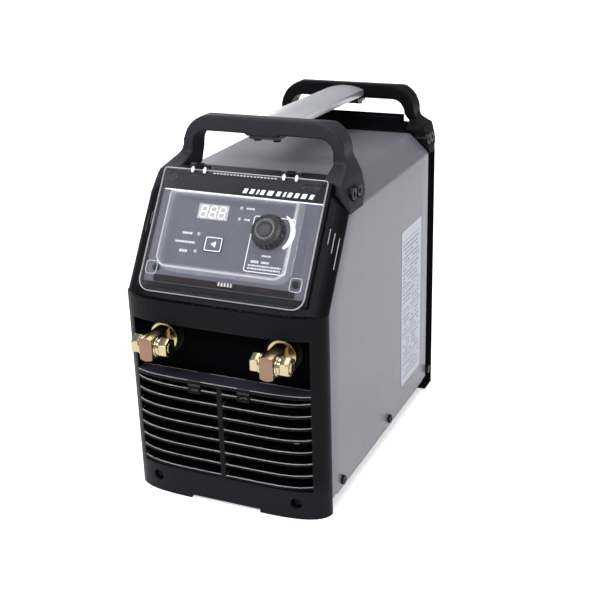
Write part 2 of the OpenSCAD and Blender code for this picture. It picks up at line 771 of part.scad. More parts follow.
// ---- power electronics ----
sink_x = [14, 71];
sink_y = [front_y + 50, front_y + 170];
sink_z = [104, 146];
sink_base = 5;
module sink_supports() {
    color([0.85, 0.82, 0.7]) both_sides()
        box([sink_x[1], sink_x[1] + 3], sink_y, [tray_z + tray_t, sink_z[1] + 2]);
}
module heat_sinks() {
    fins = 8;
    fin_t = 2;
    pitch = (sink_x[1] - sink_x[0] - fin_t) / (fins - 1);
    color([0.7, 0.72, 0.74]) both_sides() {
        box(sink_x, sink_y, [sink_z[1] - sink_base, sink_z[1]]);
        for (k = [0 : fins - 1]) {
            x = sink_x[0] + k * pitch;
            box([x, x + fin_t], sink_y, [sink_z[0], sink_z[1] - sink_base]);
        }
    }
}
module power_transistors() {
    color([0.08, 0.08, 0.08]) both_sides() for (k = [0 : 3])
        box([20, 40], [sink_y[0] + 8 + k * 24, sink_y[0] + 24 + k * 24], [sink_z[1], sink_z[1] + 5]);
}
module bridge_rectifier() {
    color([0.1, 0.1, 0.1]) difference() {
        box([48, 68], [sink_y[0] + 40, sink_y[0] + 68], [sink_z[1], sink_z[1] + 9]);
        translate([58, sink_y[0] + 54, 0]) cylinder(h = 300, r = 2.2);
    }
}
board_z = 160;
pillar_places = [[-62, 14], [62, 14], [-62, 106], [62, 106]];
module main_board() {
    color([0.1, 0.38, 0.2]) difference() {
        box([-68, 68], [sink_y[0] - 4, sink_y[1] + 4], [board_z, board_z + board_t]);
        for (p = pillar_places) translate([p[0], sink_y[0] + p[1], 100]) cylinder(h = 100, r = 1.6);
    }
}
module board_pillars() {
    color("silver") for (p = pillar_places) translate([p[0], sink_y[0] + p[1], sink_z[1]]) {
        hex_prism(6, board_z - sink_z[1]);
        cylinder(h = board_z - sink_z[1] + 4, r = 1.5);
    }
}
module filter_capacitors() {
    color([0.15, 0.2, 0.35]) for (k = [0 : 2]) translate([-38, sink_y[0] + 22 + k * 36, board_z + board_t])
        cylinder(h = 44, r = 15);
}
core_y = [front_y + 60, front_y + 122];
module transformer_core() {
    color([0.2, 0.2, 0.22]) difference() {
        box([-34, 34], core_y, [tray_z + tray_t, 80]);
        for (x = [-24, 10]) box([x, x + 14], [core_y[0] + 0, core_y[1] + 1], [24, 68]);
        box([-40, 40], [core_y[0] - 1, core_y[0] + 12], [0, 100]);
        box([-40, 40], [core_y[1] - 12, core_y[1] + 1], [0, 100]);
    }
}
module transformer_winding() {
    color([0.75, 0.4, 0.2]) difference() {
        box([-23.5, 23.5], [core_y[0] + 1, core_y[1] - 1], [24.5, 67.5]);
        box([-10.2, 10.2], [core_y[0] + 11.8, core_y[1] - 11.8], [20, 70]);
    }
}
module output_choke() {
    color([0.7, 0.42, 0.22]) translate([0, front_y + 158, tray_z + tray_t + 36]) rotate([0, 90, 0])
        rotate_extrude() translate([24, 0]) circle(r = 11.8);
}

// ---- fan ----
module fan_frame() {
    y0 = rear_panel_y - fan_t;
    h = fan_size / 2;
    color([0.12, 0.12, 0.12]) {
        difference() {
            box([-h, h], [y0, rear_panel_y], [fan_z - h, fan_z + h]);
            along_y(y0 - 1, rear_panel_y + 1, 0, fan_z, fan_bore);
            for (x = [-1, 1]) for (z = [-1, 1])
                along_y(y0 - 1, rear_panel_y + 1, x * fan_hole, fan_z + z * fan_hole, 2);
        }
        along_y(rear_panel_y - 4, rear_panel_y - 1, 0, fan_z, 19);
        along_y(y0 + 4, rear_panel_y - 3, 0, fan_z, 1.5);
        for (a = [0 : 90 : 270]) translate([0, rear_panel_y - 3.8, fan_z]) rotate([0, a, 0])
            translate([12, 0, -2]) cube([h - 14, 2.6, 4]);
    }
}
module fan_rotor() {
    y0 = rear_panel_y - fan_t + 2;
    color([0.2, 0.2, 0.2]) difference() {
        union() {
            along_y(y0, y0 + 17, 0, fan_z, 18);
            for (a = [0 : 360 / 7 : 359]) translate([0, y0 + 8.5, fan_z]) rotate([0, a, 0])
                translate([16, 0, 0]) rotate([35, 0, 0]) translate([0, -0.8, -9])
                    cube([fan_bore - 18, 1.6, 18]);
        }
        along_y(y0 + 1.5, y0 + 30, 0, fan_z, 1.5 + running_fit);
        along_y(y0 + 13, y0 + 30, 0, fan_z, 15);
    }
}
module finger_guard() {
    y = rear_y + 1.4;
    color("silver") {
        for (r = [12, 22, 32, 42]) translate([0, y, fan_z]) rotate([90, 0, 0])
            rotate_extrude($fn = 64) translate([r, 0]) circle(r = 1, $fn = 16);
        for (a = [45 : 90 : 315]) translate([0, y - 0.4, fan_z]) rotate([0, a, 0]) translate([10, -0.8, -0.8])
            cube([45, 1.6, 1.6]);
        for (x = [-1, 1]) for (z = [-1, 1]) difference() {
            along_y(rear_y - 0.2, rear_y + 1.6, x * fan_hole, fan_z + z * fan_hole, 4.5);
            along_y(rear_y - 1, rear_y + 9, x * fan_hole, fan_z + z * fan_hole, 2.1);
        }
    }
}

// ---- rear fittings ----
rocker_y = rear_y - 4;
module power_switch() {
    x = switch_place[0];
    z = switch_place[1];
    color([0.08, 0.08, 0.08]) difference() {
        union() {
            box([x - 10.8, x + 10.8], [rear_y - 30, rear_y - 0.2], [z - 13.8, z + 13.8]);
            box([x - 13, x + 13], [rear_y - 0.2, rear_y + 2], [z - 16, z + 16]);
        }
        box([x - 8.3, x + 8.3], [rear_y - 18, rear_y + 9], [z - 11.8, z + 11.8]);
        along_x(x - 9.6, x + 9.6, rocker_y, z, 1.5 + running_fit);
    }
}
module switch_rocker() {
    x = switch_place[0];
    z = switch_place[1];
    color([0.6, 0.1, 0.08]) translate([0, rocker_y, z]) rotate([-10, 0, 0]) {
        difference() {
            intersection() {
                along_x(x - 8, x + 8, 0, 0, 11.2);
                box([x - 8, x + 8], [-3, 12], [-12, 12]);
            }
            along_x(x - 9, x + 9, 20.5, 0, 12);
        }
        along_x(x - 9.4, x + 9.4, 0, 0, 1.5);
    }
}
module cable_gland() {
    color([0.1, 0.1, 0.1]) translate([gland_place[0], 0, gland_place[1]]) difference() {
        union() {
            along_y(rear_y - 18, rear_y + 1, 0, 0, 8);
            translate([0, rear_y - 0.2, 0]) rotate([-90, 0, 0]) hex_prism(24, 6);
            along_y(rear_y + 5, rear_y + 20, 0, 0, 9);
        }
        along_y(rear_y - 20, rear_y + 30, 0, 0, 5);
    }
}
module gland_nut() {
    y1 = rear_y + gland_reach;
    color([0.12, 0.12, 0.12]) translate([gland_place[0], 0, gland_place[1]]) difference() {
        union() {
            translate([0, rear_y + 6.2, 0]) rotate([-90, 0, 0]) hex_prism(24, 12);
            along_y(rear_y + 18, y1 - 5, 0, 0, 11);
            translate([0, y1 - 5, 0]) rotate([-90, 0, 0]) cylinder(h = 5, r1 = 11, r2 = 7.5);
        }
        along_y(rear_y + 5, rear_y + 20.2, 0, 0, 9.1);
        along_y(rear_y, y1 + 1, 0, 0, 5);
    }
}
module gland_locknut() {
    color([0.1, 0.1, 0.1]) translate([gland_place[0], rear_panel_y - 6, gland_place[1]]) difference() {
        rotate([-90, 0, 0]) hex_prism(22, 5.9);
        along_y(-1, 8, 0, 0, 8.05);
    }
}
module earth_stud() {
    color([0.8, 0.65, 0.35]) along_y(rear_y - 10, rear_y + 16, earth_place[0], earth_place[1], 3);
}
module earth_nuts() {
    color([0.8, 0.65, 0.35]) translate([earth_place[0], 0, earth_place[1]]) difference() {
        for (y = [rear_panel_y - 5.1, rear_y - 0.1, rear_y + 7]) translate([0, y, 0]) rotate([-90, 0, 0])
            hex_prism(10, 5);
        along_y(rear_y - 20, rear_y + 20, 0, 0, 3.05);
    }
}
module side_label() {
    color("white") box([half_w, half_w + 0.25], [front_y + label_y[0], front_y + label_y[1]], label_z);
}

base_tray();
top_cover();
front_fascia();
rear_bezel();
rear_panel();
front_handle();
rear_handle();
grip_bar();
grip_screws();
handle_screws();
cover_screws();
fascia_screws();
rear_screws();
control_panel();
panel_screws();
display_module();
display_lens();
indicator_leds();
select_button();
button_switch();
current_knob();
knob_shaft();
potentiometer();
control_board();
board_spacers();
clear_cover();
cover_hinge_pins();
terminal_insulators();
terminal_studs();
terminal_bolts();
terminal_washers();
terminal_nuts();
stud_back_nuts();
busbars();
sink_supports();
heat_sinks();
power_transistors();
bridge_rectifier();
main_board();
board_pillars();
filter_capacitors();
transformer_core();
transformer_winding();
output_choke();
fan_frame();
fan_rotor();
finger_guard();
fan_screws();
power_switch();
switch_rocker();
cable_gland();
gland_nut();
gland_locknut();
earth_stud();
earth_nuts();
side_label();
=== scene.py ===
"""Looks of a portable inverter welder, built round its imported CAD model."""
import json
import math
import random

import bmesh
import bpy
from mathutils import Matrix, Vector


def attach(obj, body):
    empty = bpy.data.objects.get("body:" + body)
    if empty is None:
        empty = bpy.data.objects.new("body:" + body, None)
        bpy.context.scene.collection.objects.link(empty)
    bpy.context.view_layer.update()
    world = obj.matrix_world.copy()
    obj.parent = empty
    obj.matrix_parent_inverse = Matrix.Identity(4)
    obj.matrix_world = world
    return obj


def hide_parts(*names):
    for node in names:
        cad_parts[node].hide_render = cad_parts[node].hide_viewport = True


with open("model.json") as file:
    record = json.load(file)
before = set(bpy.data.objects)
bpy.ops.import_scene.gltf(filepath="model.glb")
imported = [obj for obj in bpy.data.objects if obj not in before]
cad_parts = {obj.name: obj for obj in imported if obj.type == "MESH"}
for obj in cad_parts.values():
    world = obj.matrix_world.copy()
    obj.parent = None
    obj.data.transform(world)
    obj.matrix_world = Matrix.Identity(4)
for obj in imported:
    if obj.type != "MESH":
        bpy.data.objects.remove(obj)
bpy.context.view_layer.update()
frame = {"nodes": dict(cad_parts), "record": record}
NODES = frame["nodes"]
CAD_SLOT = {part["node"]: part["material_slot"] for part in frame["record"]["subparts"]}
random.seed(7)


# ---------------------------------------------------------------- shader node helpers
def new_material(name):
    mat = bpy.data.materials.new(name)
    mat.use_nodes = True
    shader = next(n for n in mat.node_tree.nodes if n.type == "BSDF_PRINCIPLED")
    return mat, mat.node_tree, shader


def add_node(tree, kind, **inputs):
    """A new node with the named inputs set; an underscore in a name stands for a space."""
    node = tree.nodes.new(kind)
    for key, value in inputs.items():
        node.inputs[key.replace("_", " ")].default_value = value
    return node


def ramp(tree, source, a, b, lo=0.0, hi=1.0):
    """Maps source from a..b to lo..hi, clamped."""
    node = add_node(tree, "ShaderNodeMapRange", From_Min=a, From_Max=b, To_Min=lo, To_Max=hi)
    tree.links.new(source, node.inputs["Value"])
    return node.outputs["Result"]


def maths(tree, kind, *terms):
    node = tree.nodes.new("ShaderNodeMath")
    node.operation = kind
    for k, term in enumerate(terms):
        if isinstance(term, (int, float)):
            node.inputs[k].default_value = term
        else:
            tree.links.new(term, node.inputs[k])
    return node.outputs[0]


def band(tree, source, rise, fall):
    """1 between two soft limits: it comes in over rise and goes out over fall."""
    return maths(tree, "MULTIPLY", ramp(tree, source, *rise), ramp(tree, source, *fall))


def axes(tree, vector):
    node = tree.nodes.new("ShaderNodeSeparateXYZ")
    tree.links.new(vector, node.inputs[0])
    return node.outputs


def noise(tree, vector, scale, detail=2.0, roughness=0.5):
    """Cloudy noise; without a vector it follows the object's generated coordinates."""
    node = add_node(tree, "ShaderNodeTexNoise", Scale=scale, Detail=detail, Roughness=roughness)
    if vector is not None:
        tree.links.new(vector, node.inputs["Vector"])
    return node.outputs["Fac"]


MIX_AMOUNT, MIX_UNDER, MIX_OVER, MIX_COLOUR = 0, 6, 7, 2  # sockets of a colour mix


def colour_mix(tree, amount, over):
    node = tree.nodes.new("ShaderNodeMix")
    node.data_type = "RGBA"
    node.inputs[MIX_OVER].default_value = list(over) + [1]
    tree.links.new(amount, node.inputs[MIX_AMOUNT])
    return node


def blend(tree, amount, under, over):
    """Colour mix: over, an RGB triple, covers under by the amount."""
    node = colour_mix(tree, amount, over)
    tree.links.new(under, node.inputs[MIX_UNDER])
    return node.outputs[MIX_COLOUR]


def mottle(tree, amount, colour, darker, lighter):
    """One colour that wanders between a darker and a lighter version of itself."""
    node = colour_mix(tree, amount, [min(1, c * lighter) for c in colour])
    node.inputs[MIX_UNDER].default_value = [c * darker for c in colour] + [1]
    return node.outputs[MIX_COLOUR]


RELIEF_DEPTH = 0.0001


def relief(tree, height, strength):
    node = add_node(tree, "ShaderNodeBump", Strength=strength, Distance=RELIEF_DEPTH)
    tree.links.new(height, node.inputs["Height"])
    return node


# ---------------------------------------------------------------- camera, floor and light
CAMERA_PLACE = (0.34936, -0.75434, 0.44607)
CAMERA_AZIMUTH, CAMERA_ELEVATION, CAMERA_ROLL = 24.336, 21.561, -1.718
CAMERA_LENS = 65.94
SENSOR_WIDTH = 36
CLIP_START = 0.05


def build_camera():
    """The camera stands where the photo's did."""
    azimuth, elevation, roll = map(math.radians, (CAMERA_AZIMUTH, CAMERA_ELEVATION, CAMERA_ROLL))
    flat = math.cos(elevation)
    back = Vector((math.sin(azimuth) * flat, -math.cos(azimuth) * flat, math.sin(elevation)))
    level = (-back).cross(Vector((0, 0, 1))).normalized()
    upright = level.cross(-back)
    right = math.cos(roll) * level + math.sin(roll) * upright
    up = -math.sin(roll) * level + math.cos(roll) * upright
    data = bpy.data.cameras.new("camera")
    data.lens = CAMERA_LENS
    data.sensor_width = SENSOR_WIDTH
    data.clip_start = CLIP_START
    cam = bpy.data.objects.new("camera", data)
    cam.matrix_world = Matrix.Translation(CAMERA_PLACE) @ Matrix((right, up, back)).transposed().to_4x4()
    bpy.context.scene.collection.objects.link(cam)
    bpy.context.scene.camera = cam


def area(name, place, target, power, width, depth=None):
    """A rectangular light that points from its place at the target."""
    data = bpy.data.lights.new(name, "AREA")
    data.energy = power
    data.shape = "RECTANGLE"
    data.size = width
    data.size_y = depth or width
    lamp = bpy.data.objects.new(name, data)
    lamp.location = place
    lamp.rotation_euler = (Vector(target) - Vector(place)).to_track_quat("-Z", "Y").to_euler()
    bpy.context.scene.collection.objects.link(lamp)


FLOOR_HALF = 60
FLOOR_TONE = (0.86, 0.9)
GLOW_DISTANCE = (0.8, 2.4)
GLOW = (0.5, 0.75)


def floor_material():
    """Pale floor that also glows, more so away from the part, so that it stays white in the distance."""
    mat, tree, shader = new_material("floor_white")
    tone = ramp(tree, noise(tree, None, 3), 0, 1, *FLOOR_TONE)
    grey = tree.nodes.new("ShaderNodeCombineColor")
    for channel in grey.inputs[:3]:
        tree.links.new(tone, channel)
    tree.links.new(grey.outputs[0], shader.inputs["Base Color"])
    shader.inputs["Roughness"].default_value = 0.7
    shader.inputs["Specular IOR Level"].default_value = 0.1
    shader.inputs["Emission Color"].default_value = (1, 1, 1, 1)
    far = tree.nodes.new("ShaderNodeVectorMath")
    far.operation = "LENGTH"
    tree.links.new(tree.nodes.new("ShaderNodeTexCoord").outputs["Object"], far.inputs[0])
    glow = ramp(tree, far.outputs["Value"], *GLOW_DISTANCE, *GLOW)
    tree.links.new(glow, shader.inputs["Emission Strength"])
    return mat


def build_floor():
    me = bpy.data.meshes.new("floor")
    h = FLOOR_HALF
    me.from_pydata([(-h, -h, 0), (h, -h, 0), (h, h, 0), (-h, h, 0)], [], [(0, 1, 2, 3)])
    me.materials.append(floor_material())
    floor = bpy.data.objects.new("floor", me)
    bpy.context.scene.collection.objects.link(floor)


def build_world():
    world = bpy.data.worlds.new("world")
    world.use_nodes = True
    sky = world.node_tree.nodes["Background"]
    sky.inputs["Color"].default_value = (0.95, 0.97, 1, 1)
    sky.inputs["Strength"].default_value = 0.42
    bpy.context.scene.world = world


def build_stage():
    build_floor()
    build_world()
    area("key", (-0.9, -1.3, 1.5), (0, -0.05, 0.15), power=20, width=1.0)
    area("front_strip", (0.3, -1.3, 1.35), (0, -0.1, 0.1), power=14, width=1.0, depth=0.22)
    area("right_fill", (1.7, 0.1, 0.9), (0.05, 0, 0.12), power=1.8, width=1.2)
    area("top", (0, 0.25, 1.8), (0, 0, 0.2), power=18, width=1.3)
    area("back_left", (-1.3, 1.2, 0.8), (0, 0, 0.15), power=8, width=1.0)
    bpy.context.scene.view_settings.view_transform = "Standard"


# ---------------------------------------------------------------- what the finishes are made of
# zones of the moulded front, in metres: Z is height, X the distance from the middle;
# each pair of numbers says where a soft limit starts and ends
FOOT_Z = (0.029, 0.019)
GRILLE_Z = ((0.0232, 0.0242), (0.0998, 0.0994))
GRILLE_X = ((0.002, 0.0022), (0.0702, 0.0698))
LEDGE_Z = ((0.0992, 0.0996), (0.1014, 0.101))
TAB_Z = (0.0899, 0.0902)
TAB_X = ((0.0146, 0.0149), (0.0254, 0.0251))
FOOT_COLOUR = (0.0075, 0.0072, 0.0105)
SLAT_SHADE_COLOUR = (0.0009, 0.0009, 0.0012)
LEDGE_LIT_COLOUR = (0.03, 0.029, 0.042)
# colour of the painted highlight on the front's upward edges
EDGE_HIGHLIGHT_COLOUR = (0.6, 0.6, 0.63)
# how far a face has to look up or sideways, and how much painted light it then gets
LEDGE_FACE, LEDGE_LIGHT_SHARE = (0.5, 0.9), 0.9
UPWARD_EDGE, SIDE_EDGE = (0.08, 0.35), (0.5, 0.35)
EDGE_HIGHLIGHT_PATCHES, EDGE_HIGHLIGHT_SHARE = (0.3, 0.5), (0.65, 1.0)
EDGE_HIGHLIGHT_ON_TABS = 0.2


def front_zones(tree, colour, spot, facing, edge, patchy):
    """Moulded front: slats darkened as painted shade, a painted highlight on their upper edges, painted light
    on the ledge above them, a paler foot.
    """
    x, z = maths(tree, "ABSOLUTE", spot["X"]), spot["Z"]
    colour = blend(tree, ramp(tree, z, *FOOT_Z), colour, FOOT_COLOUR)
    # painted shade: the grille's slats are darkened, standing in for the shade between them
    slats = maths(tree, "MULTIPLY", band(tree, z, *GRILLE_Z), band(tree, x, *GRILLE_X))
    colour = blend(tree, slats, colour, SLAT_SHADE_COLOUR)
    # painted light: the ledge's upward-facing top is lightened as if lit from above
    level = band(tree, z, *LEDGE_Z)
    ledge = maths(tree, "MULTIPLY", level, ramp(tree, facing["Z"], *LEDGE_FACE))
    colour = blend(tree, maths(tree, "MULTIPLY", ledge, LEDGE_LIGHT_SHARE), colour, LEDGE_LIT_COLOUR)
    # painted highlight only on edges that face up, weaker in patches and hardly on the tabs and side faces
    upward = maths(tree, "MULTIPLY", edge, ramp(tree, facing["Z"], *UPWARD_EDGE))
    edge_highlight = maths(tree, "MULTIPLY", maths(tree, "MAXIMUM", slats, level), upward)
    edge_highlight = maths(tree, "MULTIPLY", edge_highlight, ramp(tree, patchy, *EDGE_HIGHLIGHT_PATCHES, *EDGE_HIGHLIGHT_SHARE))
    sideways = maths(tree, "ABSOLUTE", facing["X"])
    edge_highlight = maths(tree, "MULTIPLY", edge_highlight, ramp(tree, sideways, *SIDE_EDGE))
    tabs = maths(tree, "MULTIPLY", ramp(tree, z, *TAB_Z), band(tree, x, *TAB_X))
    edge_highlight = maths(tree, "MULTIPLY", edge_highlight, ramp(tree, tabs, 0.0, 1.0, 1.0, EDGE_HIGHLIGHT_ON_TABS))
    return blend(tree, edge_highlight, colour, EDGE_HIGHLIGHT_COLOUR)


STUD_TIP_Y = (-0.1395, -0.1415)
FACES_FRONT = (-0.55, -0.8)


def forward_tip_colour(tree, colour, where, tip):
    """Another colour on the faces that look forward at the very front of the studs."""
    normal = tree.nodes.new("ShaderNodeNewGeometry").outputs["Normal"]
    forward = ramp(tree, axes(tree, normal)["Y"], *FACES_FRONT)
    foremost = ramp(tree, axes(tree, where)["Y"], *STUD_TIP_Y)
    return blend(tree, maths(tree, "MULTIPLY", forward, foremost), colour, tip)


def flatness(tree, bevel):
    """1 on flat ground, and less where the rounded normal turns away from the real one at an edge."""
    node = tree.nodes.new("ShaderNodeVectorMath")
    node.operation = "DOT_PRODUCT"
    real = tree.nodes.new("ShaderNodeNewGeometry").outputs["True Normal"]
    tree.links.new(bevel.outputs["Normal"], node.inputs[0])
    tree.links.new(real, node.inputs[1])
    return node.outputs["Value"]


TAB_FADE = 0.0004
# height of the sloping plane at the middle of the length, its fall towards the back, and the colour
BAR_TABS = (0.2633, 0.0235, (0.004, 0.004, 0.0045))


def dark_tabs(tree, colour, where, shader, metal, height, fall, black):
    """Below a sloping plane the metal turns dark and not metallic: the fixing tabs under the bar's ends."""
    spot = axes(tree, where)
    low = maths(tree, "ADD", spot["Z"], maths(tree, "MULTIPLY", spot["Y"], fall))
    under = ramp(tree, low, height, height - TAB_FADE)
    tree.links.new(ramp(tree, under, 0, 1, metal, 0.0), shader.inputs["Metallic"])
    return blend(tree, under, colour, black)


GLOSS_SPOTS = 6  # gloss wanders this many times faster than colour
# reach, edge limits and patches of the lighter edges: partly worn, partly a painted highlight
WEAR_HIGHLIGHT_REACH = 0.0008
WEAR_HIGHLIGHT_EDGE, WEAR_HIGHLIGHT_PATCHES = (0.985, 0.8), (0.35, 0.65)
EDGE_HIGHLIGHT_LIMITS = (0.996, 0.93)
SMOOTHEST = 0.02


def finish_mat(name, col, rough=0.5, metal=0.0, spec=0.5, grain=2500, bump=0.15, spots=45, vary=0.12,
               rough_vary=0.08, round_r=0.0, wear_and_highlight=0.0, wear_and_highlight_col=None, stretch=(1, 1, 1), tip=None,
               front=False, tabs=None):
    """A finish with mottled colour, uneven gloss, fine relief and lighter edges, partly worn and partly a
    painted highlight.

    spots and grain are noise scales, bump is the strength of the relief, and vary and rough_vary say how
    far colour and roughness wander. round_r is the radius of shaded edges in metres, wear_and_highlight how
    much of them turns to wear_and_highlight_col, partly worn edges and partly a painted highlight. tip, front
    and tabs switch on the zones above.
    """
    mat, tree, shader = new_material(name)
    links = tree.links
    shader.inputs["Metallic"].default_value = metal
    shader.inputs["Specular IOR Level"].default_value = spec
    where = tree.nodes.new("ShaderNodeTexCoord").outputs["Object"]
    mapping = add_node(tree, "ShaderNodeMapping", Scale=stretch)
    links.new(where, mapping.inputs["Vector"])
    drawn_out = mapping.outputs["Vector"]
    patchy = noise(tree, where, spots, detail=4.0, roughness=0.6)
    gloss = noise(tree, drawn_out, spots * GLOSS_SPOTS, detail=3.0)
    fine = relief(tree, noise(tree, drawn_out, grain), bump)
    colour = mottle(tree, patchy, col, 1 - vary, 1 + vary)
    if tip:
        # another colour on the forward faces of the stud tips
        colour = forward_tip_colour(tree, colour, where, tip)
    roughness = ramp(tree, gloss, 0, 1, max(SMOOTHEST, rough - rough_vary), min(1, rough + rough_vary))
    links.new(roughness, shader.inputs["Roughness"])
    if round_r or wear_and_highlight:
        bevel = add_node(tree, "ShaderNodeBevel", Radius=round_r or WEAR_HIGHLIGHT_REACH)
        bevel.samples = 4
    if round_r:
        links.new(bevel.outputs["Normal"], fine.inputs["Normal"])
    if wear_and_highlight:
        # edges turn lighter: partly worn, partly a painted highlight
        flat = flatness(tree, bevel)
        patches = ramp(tree, patchy, *WEAR_HIGHLIGHT_PATCHES, 0, wear_and_highlight)
        colour = blend(tree, maths(tree, "MULTIPLY", ramp(tree, flat, *WEAR_HIGHLIGHT_EDGE), patches), colour, wear_and_highlight_col)
        if front:
            # the painted highlight on the front's upward edges starts where the rounded normal turns this far
            edge = ramp(tree, flat, *EDGE_HIGHLIGHT_LIMITS)
            facing = axes(tree, bevel.outputs["Normal"])
            colour = front_zones(tree, colour, axes(tree, where), facing, edge, patchy)
    if tabs:
        colour = dark_tabs(tree, colour, where, shader, metal, *tabs)
    links.new(colour, shader.inputs["Base Color"])
    links.new(fine.outputs["Normal"], shader.inputs["Normal"])
    return mat


CLEAR_CLOUDS, CLEAR_TONES = 160, (0.93, 1.05)
CLEAR_SLANT = (0.1, 0.9)


def clear_mat(name, face, edge_on, tint=(0.8, 0.82, 0.88)):
    """Clear plastic: see-through square on, whiter at a slant, partly the haze of its thickness and partly a
    painted reflection.
    """
    mat, tree, shader = new_material(name)
    where = tree.nodes.new("ShaderNodeTexCoord").outputs["Object"]
    clouds = noise(tree, where, CLEAR_CLOUDS, detail=3.0)
    tree.links.new(mottle(tree, clouds, tint, *CLEAR_TONES), shader.inputs["Base Color"])
    shader.inputs["Roughness"].default_value = 0.06
    shader.inputs["Specular IOR Level"].default_value = 0.6
    slant = add_node(tree, "ShaderNodeLayerWeight", Blend=0.35).outputs["Facing"]
    tree.links.new(ramp(tree, slant, *CLEAR_SLANT, face, edge_on), shader.inputs["Alpha"])
    tree.links.new(relief(tree, clouds, 0.05).outputs["Normal"], shader.inputs["Normal"])
    return mat


